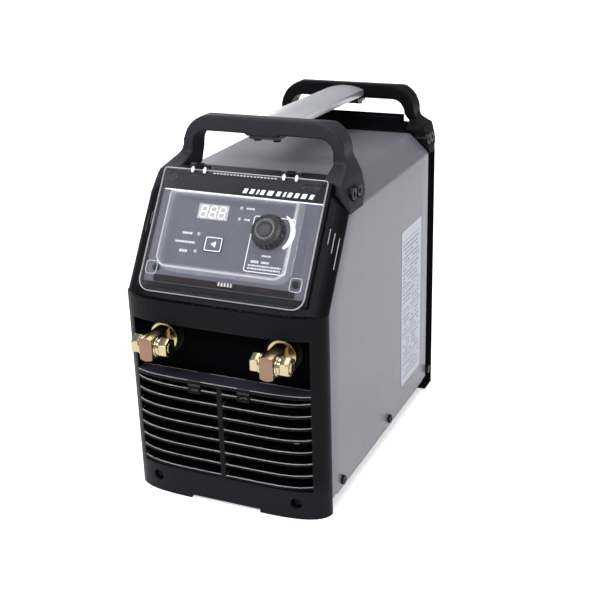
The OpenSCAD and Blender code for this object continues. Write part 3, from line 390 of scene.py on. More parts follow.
# ---------------------------------------------------------------- the finishes
M = {
    # case
    "cover_paint": finish_mat("satin_grey_paint", (0.155, 0.149, 0.176), rough=0.34, metal=0.25, spec=0.25,
                              grain=1600, bump=0.08, vary=0.03, rough_vary=0.05, round_r=0.0006,
                              wear_and_highlight=0.3, wear_and_highlight_col=(0.35, 0.35, 0.36)),
    "tray_steel": finish_mat("tray_steel", (0.1, 0.1, 0.11), metal=0.5, bump=0.1),
    "fascia_plastic": finish_mat("fascia_plastic", (0.0035, 0.0034, 0.0045), rough=0.38, spec=0.06,
                                 grain=3200, bump=0.22, vary=0.1, round_r=0.001,
                                 wear_and_highlight=0.1, wear_and_highlight_col=(0.1, 0.1, 0.11), front=True),
    "bezel_plastic": finish_mat("bezel_plastic", (0.0034, 0.0033, 0.004), spec=0.0, grain=3000, bump=0.2,
                                round_r=0.001, wear_and_highlight=0.5, wear_and_highlight_col=(0.03, 0.03, 0.035)),
    "panel_steel": finish_mat("panel_steel", (0.06, 0.06, 0.065), rough=0.45, metal=0.3, grain=2000,
                              bump=0.12, round_r=0.0004),
    "label_film": finish_mat("label_film", (0.4, 0.43, 0.5), rough=0.45, grain=2000, bump=0.04, vary=0.03),
    # painted shade: a darker black for the back of the terminal recess
    "recess_shade_black": finish_mat("recess_shade_black", (0.0018, 0.0018, 0.0022), rough=0.85, spec=0.0, grain=3000),
    # light grey for the strips in the side slits: partly the grey inside, partly a painted highlight
    "slit_highlight_grey": finish_mat("slit_highlight_grey", (0.5, 0.5, 0.53), rough=0.4, bump=0.05, vary=0.1),
    # carrying
    "front_handle": finish_mat("charcoal_grip", (0.0125, 0.012, 0.0185), spec=0.2, grain=2600, bump=0.3,
                               vary=0.1, wear_and_highlight=0.12, wear_and_highlight_col=(0.05, 0.05, 0.065)),
    "rear_handle": finish_mat("black_grip", (0.0028, 0.0027, 0.0034), rough=0.45, spec=0.05, grain=2600,
                              bump=0.2, vary=0.1, wear_and_highlight=0.12, wear_and_highlight_col=(0.04, 0.04, 0.045)),
    "grip_metal": finish_mat("satin_bar", (0.55, 0.55, 0.58), rough=0.36, metal=0.75, grain=900, bump=0.1,
                             stretch=(8, 0.2, 8), vary=0.04, round_r=0.0004,
                             wear_and_highlight=0.2, wear_and_highlight_col=(0.75, 0.75, 0.76), tabs=BAR_TABS),
    # fasteners
    "zinc_steel": finish_mat("zinc_steel", (0.6, 0.6, 0.62), rough=0.33, metal=1.0, bump=0.1, vary=0.08,
                             round_r=0.0003),
    "black_steel": finish_mat("black_oxide", (0.004, 0.004, 0.0045), rough=0.4, spec=0.15, bump=0.12,
                              round_r=0.0003, wear_and_highlight=0.1, wear_and_highlight_col=(0.05, 0.05, 0.05)),
    # controls
    "panel_film": finish_mat("panel_film", (0.1, 0.098, 0.13), spec=0.05, grain=4200, bump=0.08, vary=0.04),
    "header_film": finish_mat("header_film", (0.006, 0.006, 0.008), spec=0.03, grain=4200, bump=0.08,
                              vary=0.04),
    "dark_recess": finish_mat("dark_recess", (0.011, 0.0055, 0.0055), spec=0.05, bump=0.1, vary=0.3,
                              spots=120),
    "display_face": finish_mat("display_face", (0.25, 0.25, 0.29), rough=0.3, grain=3000, bump=0.03,
                               vary=0.03),
    "digit_white": finish_mat("digit_white", (0.86, 0.87, 0.9), rough=0.4, bump=0.03, vary=0.03),
    "led_lens": finish_mat("led_lens", (0.36, 0.36, 0.4), rough=0.3, bump=0.05, vary=0.05),
    "button_film": finish_mat("button_film", (0.098, 0.096, 0.128), spec=0.06, grain=4200, bump=0.08,
                              vary=0.04),
    "knob_plastic": finish_mat("knob_plastic", (0.004, 0.004, 0.0045), rough=0.34, spec=0.25, grain=3600,
                               bump=0.2, wear_and_highlight=0.3, wear_and_highlight_col=(0.06, 0.06, 0.065)),
    "knob_ring": finish_mat("knob_ring", (0.03, 0.03, 0.034), rough=0.3, bump=0.08, vary=0.08),
    "ink_white": finish_mat("ink_white", (0.85, 0.86, 0.9), bump=0.05, vary=0.04),
    "ink_soft": finish_mat("ink_soft", (0.6, 0.6, 0.66), bump=0.05, vary=0.04),
    "ink_grey": finish_mat("ink_grey", (0.2, 0.21, 0.27), rough=0.55, bump=0.05, vary=0.2, spots=400),
    "clear_plastic": clear_mat("clear_plastic", 0.008, 0.15),
    "clear_window": clear_mat("clear_window", 0.012, 0.15),
    # the edge and soft finishes: whiter clear plastic as painted highlights on rounded edges, ribs and raised
    # squares, and on the dome's lower wall
    "clear_edge_highlight": clear_mat("clear_edge_highlight", 0.36, 0.75, (0.88, 0.88, 0.93)),
    "clear_soft_highlight": clear_mat("clear_soft_highlight", 0.12, 0.32),
    # painted highlight: the bright ovals on the hinge knuckles
    "clear_glint": clear_mat("clear_glint", 0.8, 0.95, (0.9, 0.9, 0.94)),
    # terminals
    "terminal_brass": finish_mat("turned_brass", (0.42, 0.35, 0.215), rough=0.2, metal=1.0, grain=900,
                                 bump=0.1, vary=0.08, stretch=(1, 6, 1), round_r=0.0003,
                                 wear_and_highlight=0.3, wear_and_highlight_col=(0.95, 0.8, 0.55)),
    "stud_brass": finish_mat("stud_brass", (0.42, 0.33, 0.18), rough=0.22, metal=1.0, grain=900, bump=0.12,
                             vary=0.1, stretch=(1, 6, 1), round_r=0.0003, tip=(0.21, 0.135, 0.095)),
    "insulator_black": finish_mat("insulator_black", (0.003, 0.003, 0.0035), rough=0.45, spec=0.04,
                                  grain=3000),
    # back
    "black_plastic": finish_mat("black_plastic", (0.005, 0.005, 0.0055), rough=0.4, spec=0.2, grain=3000,
                                bump=0.2, round_r=0.0003),
    "fan_plastic": finish_mat("fan_plastic", (0.03, 0.03, 0.032), rough=0.42, bump=0.2, round_r=0.0004),
    "rocker_plastic": finish_mat("rocker_red", (0.42, 0.02, 0.015), rough=0.25, bump=0.05, vary=0.05,
                                 round_r=0.0005),
    # inside
    "board_laminate": finish_mat("board_green", (0.03, 0.16, 0.07), rough=0.4, bump=0.1),
    "sink_aluminium": finish_mat("sink_aluminium", (0.66, 0.67, 0.69), rough=0.4, metal=1.0, bump=0.1),
    "capacitor_sleeve": finish_mat("capacitor_sleeve", (0.05, 0.07, 0.16), rough=0.3, bump=0.05),
    "core_ferrite": finish_mat("core_ferrite", (0.05, 0.05, 0.055), rough=0.7, bump=0.3),
    "winding_copper": finish_mat("winding_copper", (0.4, 0.17, 0.07), rough=0.4, metal=0.9, grain=600,
                                 bump=0.5, stretch=(1, 1, 12)),
}
FINISH_OF_NODE = {"cover_hinge_pins": "black_steel", "grip_screws": "black_steel"}


# ---------------------------------------------------------------- mesh helpers
MM = 0.001
IN_MM = Matrix.Scale(MM, 4)
# the panel's own frame: x to the right, s up the slope from its foot, n out of it, all in mm
FRONT_Y, KNEE_Z = -111, 159
SLOPE_SIN, SLOPE_COS = 0.8329, 0.5534
ON_PANEL = Matrix((
    (MM, 0, 0, 0),
    (0, SLOPE_COS * MM, -SLOPE_SIN * MM, FRONT_Y * MM),
    (0, SLOPE_SIN * MM, SLOPE_COS * MM, KNEE_Z * MM),
    (0, 0, 0, 1)))
SAME_PLACE = 0.00002
TOO_SHORT = 0.00001
SAME_PLANE = math.radians(0.6)


def link(name, me):
    ob = bpy.data.objects.new(name, me)
    bpy.context.scene.collection.objects.link(ob)
    return ob


def from_bmesh(name, bm, *mats):
    bmesh.ops.recalc_face_normals(bm, faces=bm.faces)
    me = bpy.data.meshes.new(name)
    bm.to_mesh(me)
    bm.free()
    for m in mats:
        me.materials.append(M[m])
    return link(name, me)


def smooth(ob, angle=38):
    """Smooth shading with a crease wherever two faces meet at more than the angle, in degrees."""
    me = ob.data
    me.polygons.foreach_set("use_smooth", [True] * len(me.polygons))
    me.set_sharp_from_angle(angle=math.radians(angle))
    me.update()


def apply_all(ob):
    graph = bpy.context.evaluated_depsgraph_get()
    me = bpy.data.meshes.new_from_object(ob.evaluated_get(graph))
    ob.modifiers.clear()
    ob.data = me


def put(ob, body, slot, *replaced):
    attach(ob, body)
    if replaced:
        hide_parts(*replaced)


def add_piece(name, bm, mats, matrix, body, slot, *replaced, crease=None):
    """Turns a shape drawn in millimetres, on the panel or in the case, into a piece with its finishes."""
    ob = from_bmesh(name, bm, *mats)
    ob.data.transform(matrix)
    if crease:
        smooth(ob, crease)
    put(ob, body, slot, *replaced)


def copy_of(node, name):
    """A clean copy of a CAD node's mesh: welded, with its flat faces whole again."""
    src = NODES[node]
    bm = bmesh.new()
    bm.from_mesh(src.data)
    bm.transform(src.matrix_world)
    bmesh.ops.remove_doubles(bm, verts=bm.verts, dist=SAME_PLACE)
    bmesh.ops.dissolve_degenerate(bm, edges=bm.edges, dist=TOO_SHORT)
    bmesh.ops.dissolve_limit(bm, angle_limit=SAME_PLANE, verts=bm.verts, edges=bm.edges)
    me = bpy.data.meshes.new(name)
    bm.to_mesh(me)
    bm.free()
    return link(name, me)


def bevel_edges(ob, width, angle):
    mod = ob.modifiers.new("bevel", "BEVEL")
    mod.width = width
    mod.segments = 2
    mod.limit_method = "ANGLE"
    mod.angle_limit = math.radians(angle)


def refine(node, mat, body, width=0.0):
    """A CAD node's shape with bevelled edges, shown in its place."""
    ob = copy_of(node, node + "_fine")
    ob.data.materials.append(M[mat])
    if width:
        bevel_edges(ob, width, 30)
        apply_all(ob)
    smooth(ob)
    put(ob, body, CAD_SLOT[node], node)


def soften(node, mat, voxel=0.001, rounds=6):
    """A moulded piece with rounded edges all over: remeshed finely, then relaxed."""
    ob = copy_of(node, node + "_fine")
    mod = ob.modifiers.new("remesh", "REMESH")
    mod.mode = "VOXEL"
    mod.voxel_size = voxel
    mod.use_smooth_shade = True
    mod = ob.modifiers.new("smooth", "SMOOTH")
    mod.factor = 0.5
    mod.iterations = rounds
    apply_all(ob)
    ob.data.materials.append(M[mat])
    smooth(ob, 60)
    put(ob, "housing", CAD_SLOT[node], node)


def on_circle(cx, cy, r, angle):
    return cx + r * math.cos(angle), cy + r * math.sin(angle)


def turns(count):
    """The angles of even steps round a circle."""
    return [2 * math.pi * i / count for i in range(count)]


def box_outline(x0, x1, y0, y1):
    return [(x0, y0), (x1, y0), (x1, y1), (x0, y1)]


def join_rings(bm, a, b, mat=0):
    """The faces between two rings with the same number of points."""
    k = len(a)
    for i in range(k):
        bm.faces.new((a[i], a[(i + 1) % k], b[(i + 1) % k], b[i])).material_index = mat


def slab(bm, outline, n0, n1, mat=0):
    """A flat plate with the given outline, from n0 to n1."""
    low = [bm.verts.new((x, y, n0)) for x, y in outline]
    high = [bm.verts.new((x, y, n1)) for x, y in outline]
    bm.faces.new(high).material_index = mat
    bm.faces.new(low[::-1]).material_index = mat
    join_rings(bm, low, high, mat)


def line(bm, a, b, width, n0, n1):
    """A straight stroke between two points."""
    run = Vector((b[0] - a[0], b[1] - a[1])).normalized()
    side = Vector((-run.y, run.x)) * width / 2
    slab(bm, [(a[0] - side.x, a[1] - side.y), (b[0] - side.x, b[1] - side.y),
              (b[0] + side.x, b[1] + side.y), (a[0] + side.x, a[1] + side.y)], n0, n1)


def corner_radii(r):
    return list(r) if isinstance(r, (list, tuple)) else [r] * 4


def round_rect(x0, x1, s0, s1, r, steps=6, per_side=4):
    """Points round a rectangle with four corner radii (low left, low right, top right, top left)."""
    r = corner_radii(r)
    centres = [(x0 + r[0], s0 + r[0]), (x1 - r[1], s0 + r[1]), (x1 - r[2], s1 - r[2]), (x0 + r[3], s1 - r[3])]
    arcs = []
    for (cx, cy), radius, start in zip(centres, r, (180, 270, 0, 90)):
        arc = [math.radians(start + 90 * i / steps) for i in range(steps + 1)]
        arcs.append([on_circle(cx, cy, radius, angle) for angle in arc])
    out = []
    for k, arc in enumerate(arcs):
        out += arc
        (ax, ay), (bx, by) = arc[-1], arcs[(k + 1) % 4][0]
        for i in range(1, per_side):
            t = i / per_side
            out.append((ax * (1 - t) + bx * t, ay * (1 - t) + by * t))
    return out


SHARPEST = 0.05


def frame_line(bm, x0, x1, s0, s1, r, width, n0, n1):
    """A thin closed outline with round corners."""
    inner_r = [max(SHARPEST, q - width) for q in corner_radii(r)]
    outer = round_rect(x0, x1, s0, s1, r)
    inner = round_rect(x0 + width, x1 - width, s0 + width, s1 - width, inner_r)
    section = ((outer, n0), (outer, n1), (inner, n1), (inner, n0))
    rings = [[bm.verts.new((p[0], p[1], n)) for p in ring] for ring, n in section]
    for u in range(4):
        join_rings(bm, rings[u], rings[(u + 1) % 4])


def lathe(bm, profile, count, warp, matrix):
    """A turned form about the local Z axis; warp moves the radius by angle, radius and height."""
    rings = []
    for r, h in profile:
        rings.append([bm.verts.new((*on_circle(0, 0, r + warp(a, r, h), a), h)) for a in turns(count)])
    for p, q in zip(rings, rings[1:]):
        join_rings(bm, p, q)
    bm.faces.new(rings[0][::-1])
    bm.faces.new(rings[-1])
    bm.transform(matrix)


# ---------------------------------------------------------------- the sheet-metal cover, in mm
CASE_HALF, CASE_TOP, REAR_Y = 80.0, 235.0, 111
CHAMFER_X, CHAMFER_Z = 16.5, 15.0
COVER_FOOT = 13
COVER_GAP = 0.1
COVER_RAKE = 0.6644  # run over rise of the sloping front edge
FOLD_REACH, FOLD_STEPS = 2.2, 5
SIDE_HEIGHTS = (60, 110, KNEE_Z, 190)
TOP_PLACES = (-40, -20, 0, 20, 40)
COVER_COLUMNS = 14
SHEET = 0.0012
SHEET_EDGE = 0.0003


def fold(before, corner, after):
    """A sheet's round fold at a corner: points on a quadratic curve."""
    p, c, q = Vector(before), Vector(corner), Vector(after)
    start, end = c + (p - c).normalized() * FOLD_REACH, c + (q - c).normalized() * FOLD_REACH
    steps = [i / FOLD_STEPS for i in range(FOLD_STEPS + 1)]
    return [tuple((1 - t) ** 2 * start + 2 * t * (1 - t) * c + t * t * end) for t in steps]


def cover_section():
    """Points of the cover's cross-section, from the left foot over the top to the right foot."""
    side, shoulder = CASE_HALF, CASE_HALF - CHAMFER_X
    eaves = CASE_TOP - CHAMFER_Z
    corners = [(-side, COVER_FOOT), (-side, eaves), (-shoulder, CASE_TOP),
               (shoulder, CASE_TOP), (side, eaves), (side, COVER_FOOT)]
    folds = [fold(*corners[k - 1:k + 2]) for k in range(1, 5)]
    left = [corners[0]] + [(-side, z) for z in SIDE_HEIGHTS]
    right = [(side, z) for z in SIDE_HEIGHTS[::-1]] + [corners[-1]]
    return left + folds[0] + folds[1] + [(x, CASE_TOP) for x in TOP_PLACES] + folds[2] + folds[3] + right


def build_cover():
    bm = bmesh.new()
    grid = []
    for x, z in cover_section():
        front = FRONT_Y + max(0, z - KNEE_Z) * COVER_RAKE + COVER_GAP
        rows = [front + (REAR_Y - front) * j / (COVER_COLUMNS - 1) for j in range(COVER_COLUMNS)]
        grid.append([bm.verts.new((x * MM, y * MM, z * MM)) for y in rows])
    for a, b in zip(grid, grid[1:]):
        for j in range(COVER_COLUMNS - 1):
            bm.faces.new((a[j], a[j + 1], b[j + 1], b[j]))
    ob = from_bmesh("cover_sheet", bm, "cover_paint")
    # outward normals, so that the sheet's thickness goes inward
    highest = max(ob.data.polygons, key=lambda q: q.center.z)
    if highest.normal.z < 0:
        ob.data.flip_normals()
    mod = ob.modifiers.new("sheet", "SOLIDIFY")
    mod.thickness = SHEET
    mod.offset = -1
    bevel_edges(ob, SHEET_EDGE, 60)
    apply_all(ob)
    smooth(ob, 40)
    put(ob, "housing", "cover_paint", "top_cover")


# ---------------------------------------------------------------- the sloping controls, in the panel's mm
# underside and top of each thin layer, as n
PRINT = (10.04, 10.12)
HEADER = (10.01, 10.03)
BUTTON_PRINT = (11.01, 11.09)
DIGITS = (10.22, 10.32)
STRIP = (10.02, 10.3)
HEADER_HALF, HEADER_TOP = 63.9, 86.9
HEADER_LEFT, HEADER_RIGHT = 75.2, 74.4
BLOCK_WIDTHS = (4.2, 4.2, 2.0, 4.2, 6.0, 4.2, 2.4, 4.2, 4.2, 5.0, 4.2)
BLOCK_SHARE, BLOCK_GAP = 0.72, 1.1
KNOB_X, KNOB_S, KNOB_N = 27.5, 50.5, 10.4
KNOB_FRAME = (13.4, 46.0, 20.8, 61.8)
SCALE_STEPS, SCALE_START, SCALE_TURN = 24, 52, 92
SCALE_OUTER, SCALE_INNER = (17.5, 17.0), (16.6, 16.2)
SCALE_SWELL, SCALE_TAPER = 2.2, 1.2
BUTTON_X, BUTTON_S = -13.6, 37.2
BUTTON_HALF_X, BUTTON_HALF_S = 6.6, 5.2
ARROW_HALF_X, ARROW_HALF_S = 1.9, 2.3
# x, s, width and height of each caption
CAPTIONS = ((6.2, 66.2, 6.0, 1.4), (6.2, 57.9, 5.0, 1.4), (-40.5, 43.7, 7.5, 1.6), (-45.0, 37.0, 16.5, 1.5),
            (-40.0, 30.3, 5.6, 2.0), (25.5, 33.2, 6.0, 1.3), (18.0, 28.4, 6.5, 1.9), (26.0, 28.4, 5.5, 1.6))
CAPTION_DASHES, CAPTION_GAP = (0.9, 1.2, 1.5), 0.45
NOTE_ROWS, NOTE_X, NOTE_HEIGHT = (25.6, 23.4), (16.5, 41), 1.2
NOTE_DASHES, NOTE_GAP = (0.8, 1.1, 1.6), 0.6


def print_header():
    """The dark band at the panel's head; its lower edge slopes a little."""
    bm = bmesh.new()
    slab(bm, [(-HEADER_HALF, HEADER_LEFT), (HEADER_HALF, HEADER_RIGHT),
              (HEADER_HALF, HEADER_TOP), (-HEADER_HALF, HEADER_TOP)], *HEADER)
    add_piece("panel_header", bm, ["header_film"], ON_PANEL, "housing", "panel_film")


def print_name_blocks(bm):
    """A row of plain slanted blocks where a name would be."""
    foot, head, lean = 77.4, 80.9, 1.3
    x = 0.0
    for w in BLOCK_WIDTHS:
        end = x + w * BLOCK_SHARE
        slab(bm, [(x, foot), (end, foot), (end + lean, head), (x + lean, head)], *PRINT)
        x += w + BLOCK_GAP


def print_scale(bm):
    """Crescent scale beside the knob, thickest in its middle."""
    steps = SCALE_STEPS
    outer, inner = [], []
    for i in range(steps + 1):
        turn = math.radians(SCALE_START - SCALE_TURN * i / steps)
        swell = SCALE_SWELL * math.sin(math.pi * i / steps)
        narrow = SCALE_TAPER * i / steps
        for ring, radii, more in ((outer, SCALE_OUTER, swell), (inner, SCALE_INNER, -narrow)):
            across, up = (r + more for r in radii)
            ring.append((KNOB_X + across * math.cos(turn), KNOB_S + up * math.sin(turn)))
    for i in range(steps):
        slab(bm, [inner[i], inner[i + 1], outer[i + 1], outer[i]], *PRINT)


def print_dashes(bm, start, end, s, height, lengths, gap):
    """A row of blank dashes of random length, where a caption would be."""
    x = start
    while x < end:
        length = random.choice(lengths)
        slab(bm, box_outline(x, x + length, s - height / 2, s + height / 2), *PRINT)
        x += length + gap


def print_captions():
    bm = bmesh.new()
    for x, s, width, height in CAPTIONS:
        print_dashes(bm, x, x + width - 0.4, s, height, CAPTION_DASHES, CAPTION_GAP)
    for s in NOTE_ROWS:
        print_dashes(bm, *NOTE_X, s, NOTE_HEIGHT, NOTE_DASHES, NOTE_GAP)
    add_piece("panel_marks", bm, ["ink_soft"], ON_PANEL, "housing", "label_film")


def print_button():
    """The button's outline and arrow move with the button."""
    bm = bmesh.new()
    x, s = BUTTON_X, BUTTON_S
    sides = (x - BUTTON_HALF_X, x + BUTTON_HALF_X, s - BUTTON_HALF_S, s + BUTTON_HALF_S)
    frame_line(bm, *sides, 1.2, 0.55, *BUTTON_PRINT)
    tail = x + ARROW_HALF_X
    slab(bm, [(x - ARROW_HALF_X, s), (tail, s - ARROW_HALF_S), (tail, s + ARROW_HALF_S)], *BUTTON_PRINT)
    add_piece("button_print", bm, ["ink_white"], ON_PANEL, "button", "label_film")


def build_print():
    """White printing on the panel: lines, frames, scale and small blank marks."""
    print_header()
    bm = bmesh.new()
    line(bm, (-63.2, HEADER_LEFT), (63.6, HEADER_RIGHT), 0.8, *PRINT)
    print_name_blocks(bm)
    frame_line(bm, *KNOB_FRAME, 2.0, 0.5, *PRINT)
    print_scale(bm)
    add_piece("panel_print", bm, ["ink_white"], ON_PANEL, "housing", "label_film")
    print_captions()
    print_button()


DISPLAY_X, DISPLAY_S, DIGIT_PITCH = -19.6, 61.0, 7.4
DIGIT_HALF, DIGIT_RISE, STROKE, LEAN = 2.35, 4.2, 0.95, 0.12


def digit_segments():
    """Outlines of a digit's seven strokes and their centre lines, before the digit leans."""
    w, h, t = DIGIT_HALF, DIGIT_RISE, STROKE / 2
    for y in (-h, 0, h):
        yield [(-w + 0.7, y - t), (w - 0.7, y - t), (w - 0.4, y), (w - 0.7, y + t), (-w + 0.7, y + t),
               (-w + 0.4, y)]
    for x in (-w, w):
        for y in (-h / 2, h / 2):
            foot, head = y - h / 2, y + h / 2
            yield [(x - t, foot + 0.6), (x, foot + 0.3), (x + t, foot + 0.6), (x + t, head - 0.6),
                   (x, head - 0.3), (x - t, head - 0.6)]


def build_display():
    """Three digits with all their strokes lit, and a point after each."""
    bm = bmesh.new()
    for k in (-1, 0, 1):
        x = DISPLAY_X + k * DIGIT_PITCH
        for outline in digit_segments():
            slab(bm, [(x + px + LEAN * py, DISPLAY_S + py) for px, py in outline], *DIGITS)
        slab(bm, [on_circle(x + 3.1, DISPLAY_S - DIGIT_RISE - 0.1, 0.45, a) for a in turns(10)], *DIGITS)
    add_piece("display_digits", bm, ["digit_white"], ON_PANEL, "housing", "display_face")


KNOB_FLUTES, FLUTE_DEPTH = 18, 2.0
FLUTED_FROM_R, FLUTED_N = 10.2, (0.7, 6.1)
RING_R, RING_FROM_N = (5.5, 8.25), 6.9
# radius and height of the knob's outline, from its foot over the rim into the cap's hollow
KNOB_PROFILE = [
    (11.6, 0.0), (12.7, 0.15), (13.0, 0.6), (12.95, 1.2), (12.6, 2.6), (12.2, 4.2), (11.7, 5.6), (11.2, 6.2),
    (10.5, 6.5), (9.4, 6.65), (8.7, 6.8), (8.3, 7.2), (8.1, 8.0), (7.9, 8.6), (7.5, 9.0), (7.1, 9.1),
    (6.4, 9.1), (6.0, 8.95), (5.6, 8.5), (4.4, 8.2), (2.6, 8.05), (1.0, 8.0)]


def flute(turn, r, h):
    """How deep the knob's grips are cut at this angle; only its skirt has them."""
    if r < FLUTED_FROM_R or h < FLUTED_N[0] or h > FLUTED_N[1]:
        return 0.0
    return -FLUTE_DEPTH * max(0.0, math.cos(turn * KNOB_FLUTES)) ** 1.5


def build_knob():
    bm = bmesh.new()
    centre = Vector((KNOB_X, KNOB_S, KNOB_N))
    lathe(bm, KNOB_PROFILE, KNOB_FLUTES * 12, flute, Matrix.Translation(centre))
    for f in bm.faces:
        c = f.calc_center_median() - centre
        if RING_R[0] < math.hypot(c.x, c.y) < RING_R[1] and c.z > RING_FROM_N:
            f.material_index = 1
    add_piece("knob_body", bm, ["knob_plastic", "knob_ring"], ON_PANEL, "knob", "knob_plastic",
              "current_knob", crease=50)


# ---------------------------------------------------------------- the clear hinged cover, in the panel's mm
FLANGE, DOME = "flange", "dome"
COVER_OUTLINE = {FLANGE: ((-65.5, 65.5, -3, 91), (9.5, 9.5, 2.5, 2.5)),
                 DOME: ((-51.5, 51.5, 14, 72), (9.5, 9.5, 3.2, 3.2))}
# each ring outside: its outline, how far inside that outline it lies, its height and the finish beyond it;
# EDGE and SOFT rings carry painted highlights
PLASTIC, EDGE, SOFT, WINDOW = range(4)
COVER_OUTSIDE = [(FLANGE, 0.2, 12.0, EDGE), (FLANGE, 0.0, 12.3, EDGE), (FLANGE, 0.0, 13.6, EDGE),
                 (FLANGE, 0.5, 14.0, PLASTIC), (DOME, -1.2, 14.0, SOFT), (DOME, -0.3, 14.3, SOFT),
                 (DOME, 0.0, 15.2, SOFT), (DOME, 0.5, 21.4, EDGE), (DOME, 0.9, 22.4, EDGE),
                 (DOME, 1.8, 22.9, SOFT), (DOME, 2.8, 23.0, WINDOW)]
COVER_INSIDE = [(DOME, 4.4, 21.2), (DOME, 3.0, 21.1), (DOME, 2.3, 20.4), (DOME, 1.7, 14.0), (DOME, 1.4, 12.0)]
SMALLEST_CORNER = 0.6
FLANGE_TOP = 14.0


def cover_ring(bm, outline, inset, n):
    (x0, x1, s0, s1), radii = COVER_OUTLINE[outline]
    r = [max(SMALLEST_CORNER, q - inset) for q in radii]
    points = round_rect(x0 + inset, x1 - inset, s0 + inset, s1 - inset, r, 8, 6)
    return [bm.verts.new((p[0], p[1], n)) for p in points]


def build_cover_shell():
    """A flange with a raised window whose edges are round."""
    bm = bmesh.new()
    outside = [cover_ring(bm, *row[:3]) for row in COVER_OUTSIDE]
    inside = [cover_ring(bm, *row) for row in COVER_INSIDE]
    for lower, upper, row in zip(outside, outside[1:], COVER_OUTSIDE):
        join_rings(bm, lower, upper, row[3])
    bm.faces.new(outside[-1]).material_index = WINDOW
    for upper, lower in zip(inside, inside[1:]):
        join_rings(bm, upper, lower, PLASTIC)
    bm.faces.new(inside[0]).material_index = PLASTIC
    join_rings(bm, inside[-1], outside[0], PLASTIC)
    add_piece("clear_cover_shell", bm, ["clear_plastic", "clear_edge_highlight", "clear_soft_highlight", "clear_window"],
              ON_PANEL, "clear_cover", "clear_plastic", "clear_cover", crease=40)


PIN_S, PIN_N = 93.5, 13
KNUCKLE_LENGTH, KNUCKLE_SIDES = 4, 20
WEB_S, WEB_TOP = 90.4, 13.9
HINGE_X, KNUCKLES = 36.5, ((-7.3, 2.4), (3.3, 1.6))
SCREW_SQUARE = (52.6, 61.6)


def knuckle(bm, x, glint):
    """One round hinge knuckle from x, with its web to the flange and a bright oval at x + glint, a painted
    highlight.
    """
    rings = []
    for along, r in ((0, 1.9), (0.35, 2.45), (3.65, 2.45), (KNUCKLE_LENGTH, 1.9)):
        ring = [on_circle(PIN_S, PIN_N, r, a) for a in turns(KNUCKLE_SIDES)]
        rings.append([bm.verts.new((x + along, *point)) for point in ring])
    for p, q in zip(rings, rings[1:]):
        join_rings(bm, p, q, 1)
    bm.faces.new(rings[0]).material_index = 1
    bm.faces.new(rings[-1][::-1]).material_index = 1
    slab(bm, box_outline(x, x + KNUCKLE_LENGTH, WEB_S, WEB_S + 2), 12.1, WEB_TOP, 1)
    # painted highlight: a near-white oval on the knuckle's web
    oval = [(x + glint + 1.2 * math.cos(a), WEB_S + 2.3 * math.sin(a)) for a in turns(16)]
    slab(bm, oval, WEB_TOP, 14.7, 2)


def ribs(bm, count, start, pitch, width, span, top):
    """A row of small ribs on the flange."""
    for i in range(count):
        x = start + i * pitch
        slab(bm, box_outline(x, x + width, *span), FLANGE_TOP, top)


def build_cover_details():
    """Raised squares over the panel screws, the finger catch, the ribbed edge and the hinge knuckles."""
    bm = bmesh.new()
    for side in (-1, 1):
        x0, x1 = sorted(side * x for x in SCREW_SQUARE)
        frame_line(bm, x0, x1, 9.6, 19.6, 2.4, 0.35, FLANGE_TOP, 14.5)
    ribs(bm, 5, -1.2, 2.4, 1.1, (7.0, 9.6), 14.9)
    ribs(bm, 19, -24, 2.7, 1.5, (88.4, 89.2), 14.3)
    for side in (-1, 1):
        for start, glint in KNUCKLES:
            knuckle(bm, side * HINGE_X + start, glint)
    add_piece("clear_cover_details", bm, ["clear_edge_highlight", "clear_plastic", "clear_glint"], ON_PANEL,
              "clear_cover", "clear_plastic", crease=40)


# ---------------------------------------------------------------- the fascia's slits, strip and recess
# x, foot, head and height over the panel's plane of each slit, in the panel's mm
SLITS = ((71.0, 47.5, 59, 6.6), (74.4, 42, 56.5, 5.2), (77.6, 31, 54, 3.1))


def build_fascia_extras():
    """Light strips in the side slits, partly the grey inside and partly a painted highlight of the slits'
    bright edges, and the dark reddish strip seen under the clear cover.
    """
    bm = bmesh.new()
    for side in (-1, 1):
        for x, foot, head, n in SLITS:
            line(bm, (side * x, foot), (side * x, head), 0.45, n - 3, n - 0.2)
    add_piece("slit_highlight_strips", bm, ["slit_highlight_grey"], ON_PANEL, "housing", "fascia_plastic")
    bm = bmesh.new()
    slab(bm, round_rect(-56, 56, 5.6, 10.6, 1.2), *STRIP)
    add_piece("panel_lower_strip", bm, ["dark_recess"], ON_PANEL, "housing", "panel_film")


# the sheet of painted shade sits just in front of the recess's back wall
SHADE_SHEET_BACK, SHADE_SHEET_FRONT = -114.05, -114.3
SHADE_SHEET_X, SHADE_SHEET_Z = (-69.7, 69.7), (100.3, 141.7)
TERMINAL_X, TERMINAL_Z = 47.5, 128
RING_IN, RING_OUT, RING_BEVEL, RING_RAISE = 17.4, 18.2, 0.2, 0.5
RING_TOP = 13.4


def terminal_ring(bm, cx):
    """A shallow ring round a terminal, cut off level under the recess's roof."""
    section = ((RING_IN, 0), (RING_IN + RING_BEVEL, RING_RAISE),
               (RING_OUT - RING_BEVEL, RING_RAISE), (RING_OUT, 0))
    rings = []
    for r, out in section:
        points = [on_circle(0, 0, r, a) for a in turns(72)]
        level = [(cx + x, SHADE_SHEET_FRONT - out, TERMINAL_Z + min(RING_TOP, z)) for x, z in points]
        rings.append([bm.verts.new(point) for point in level])
    for p, q in zip(rings, rings[1:]):
        join_rings(bm, p, q)


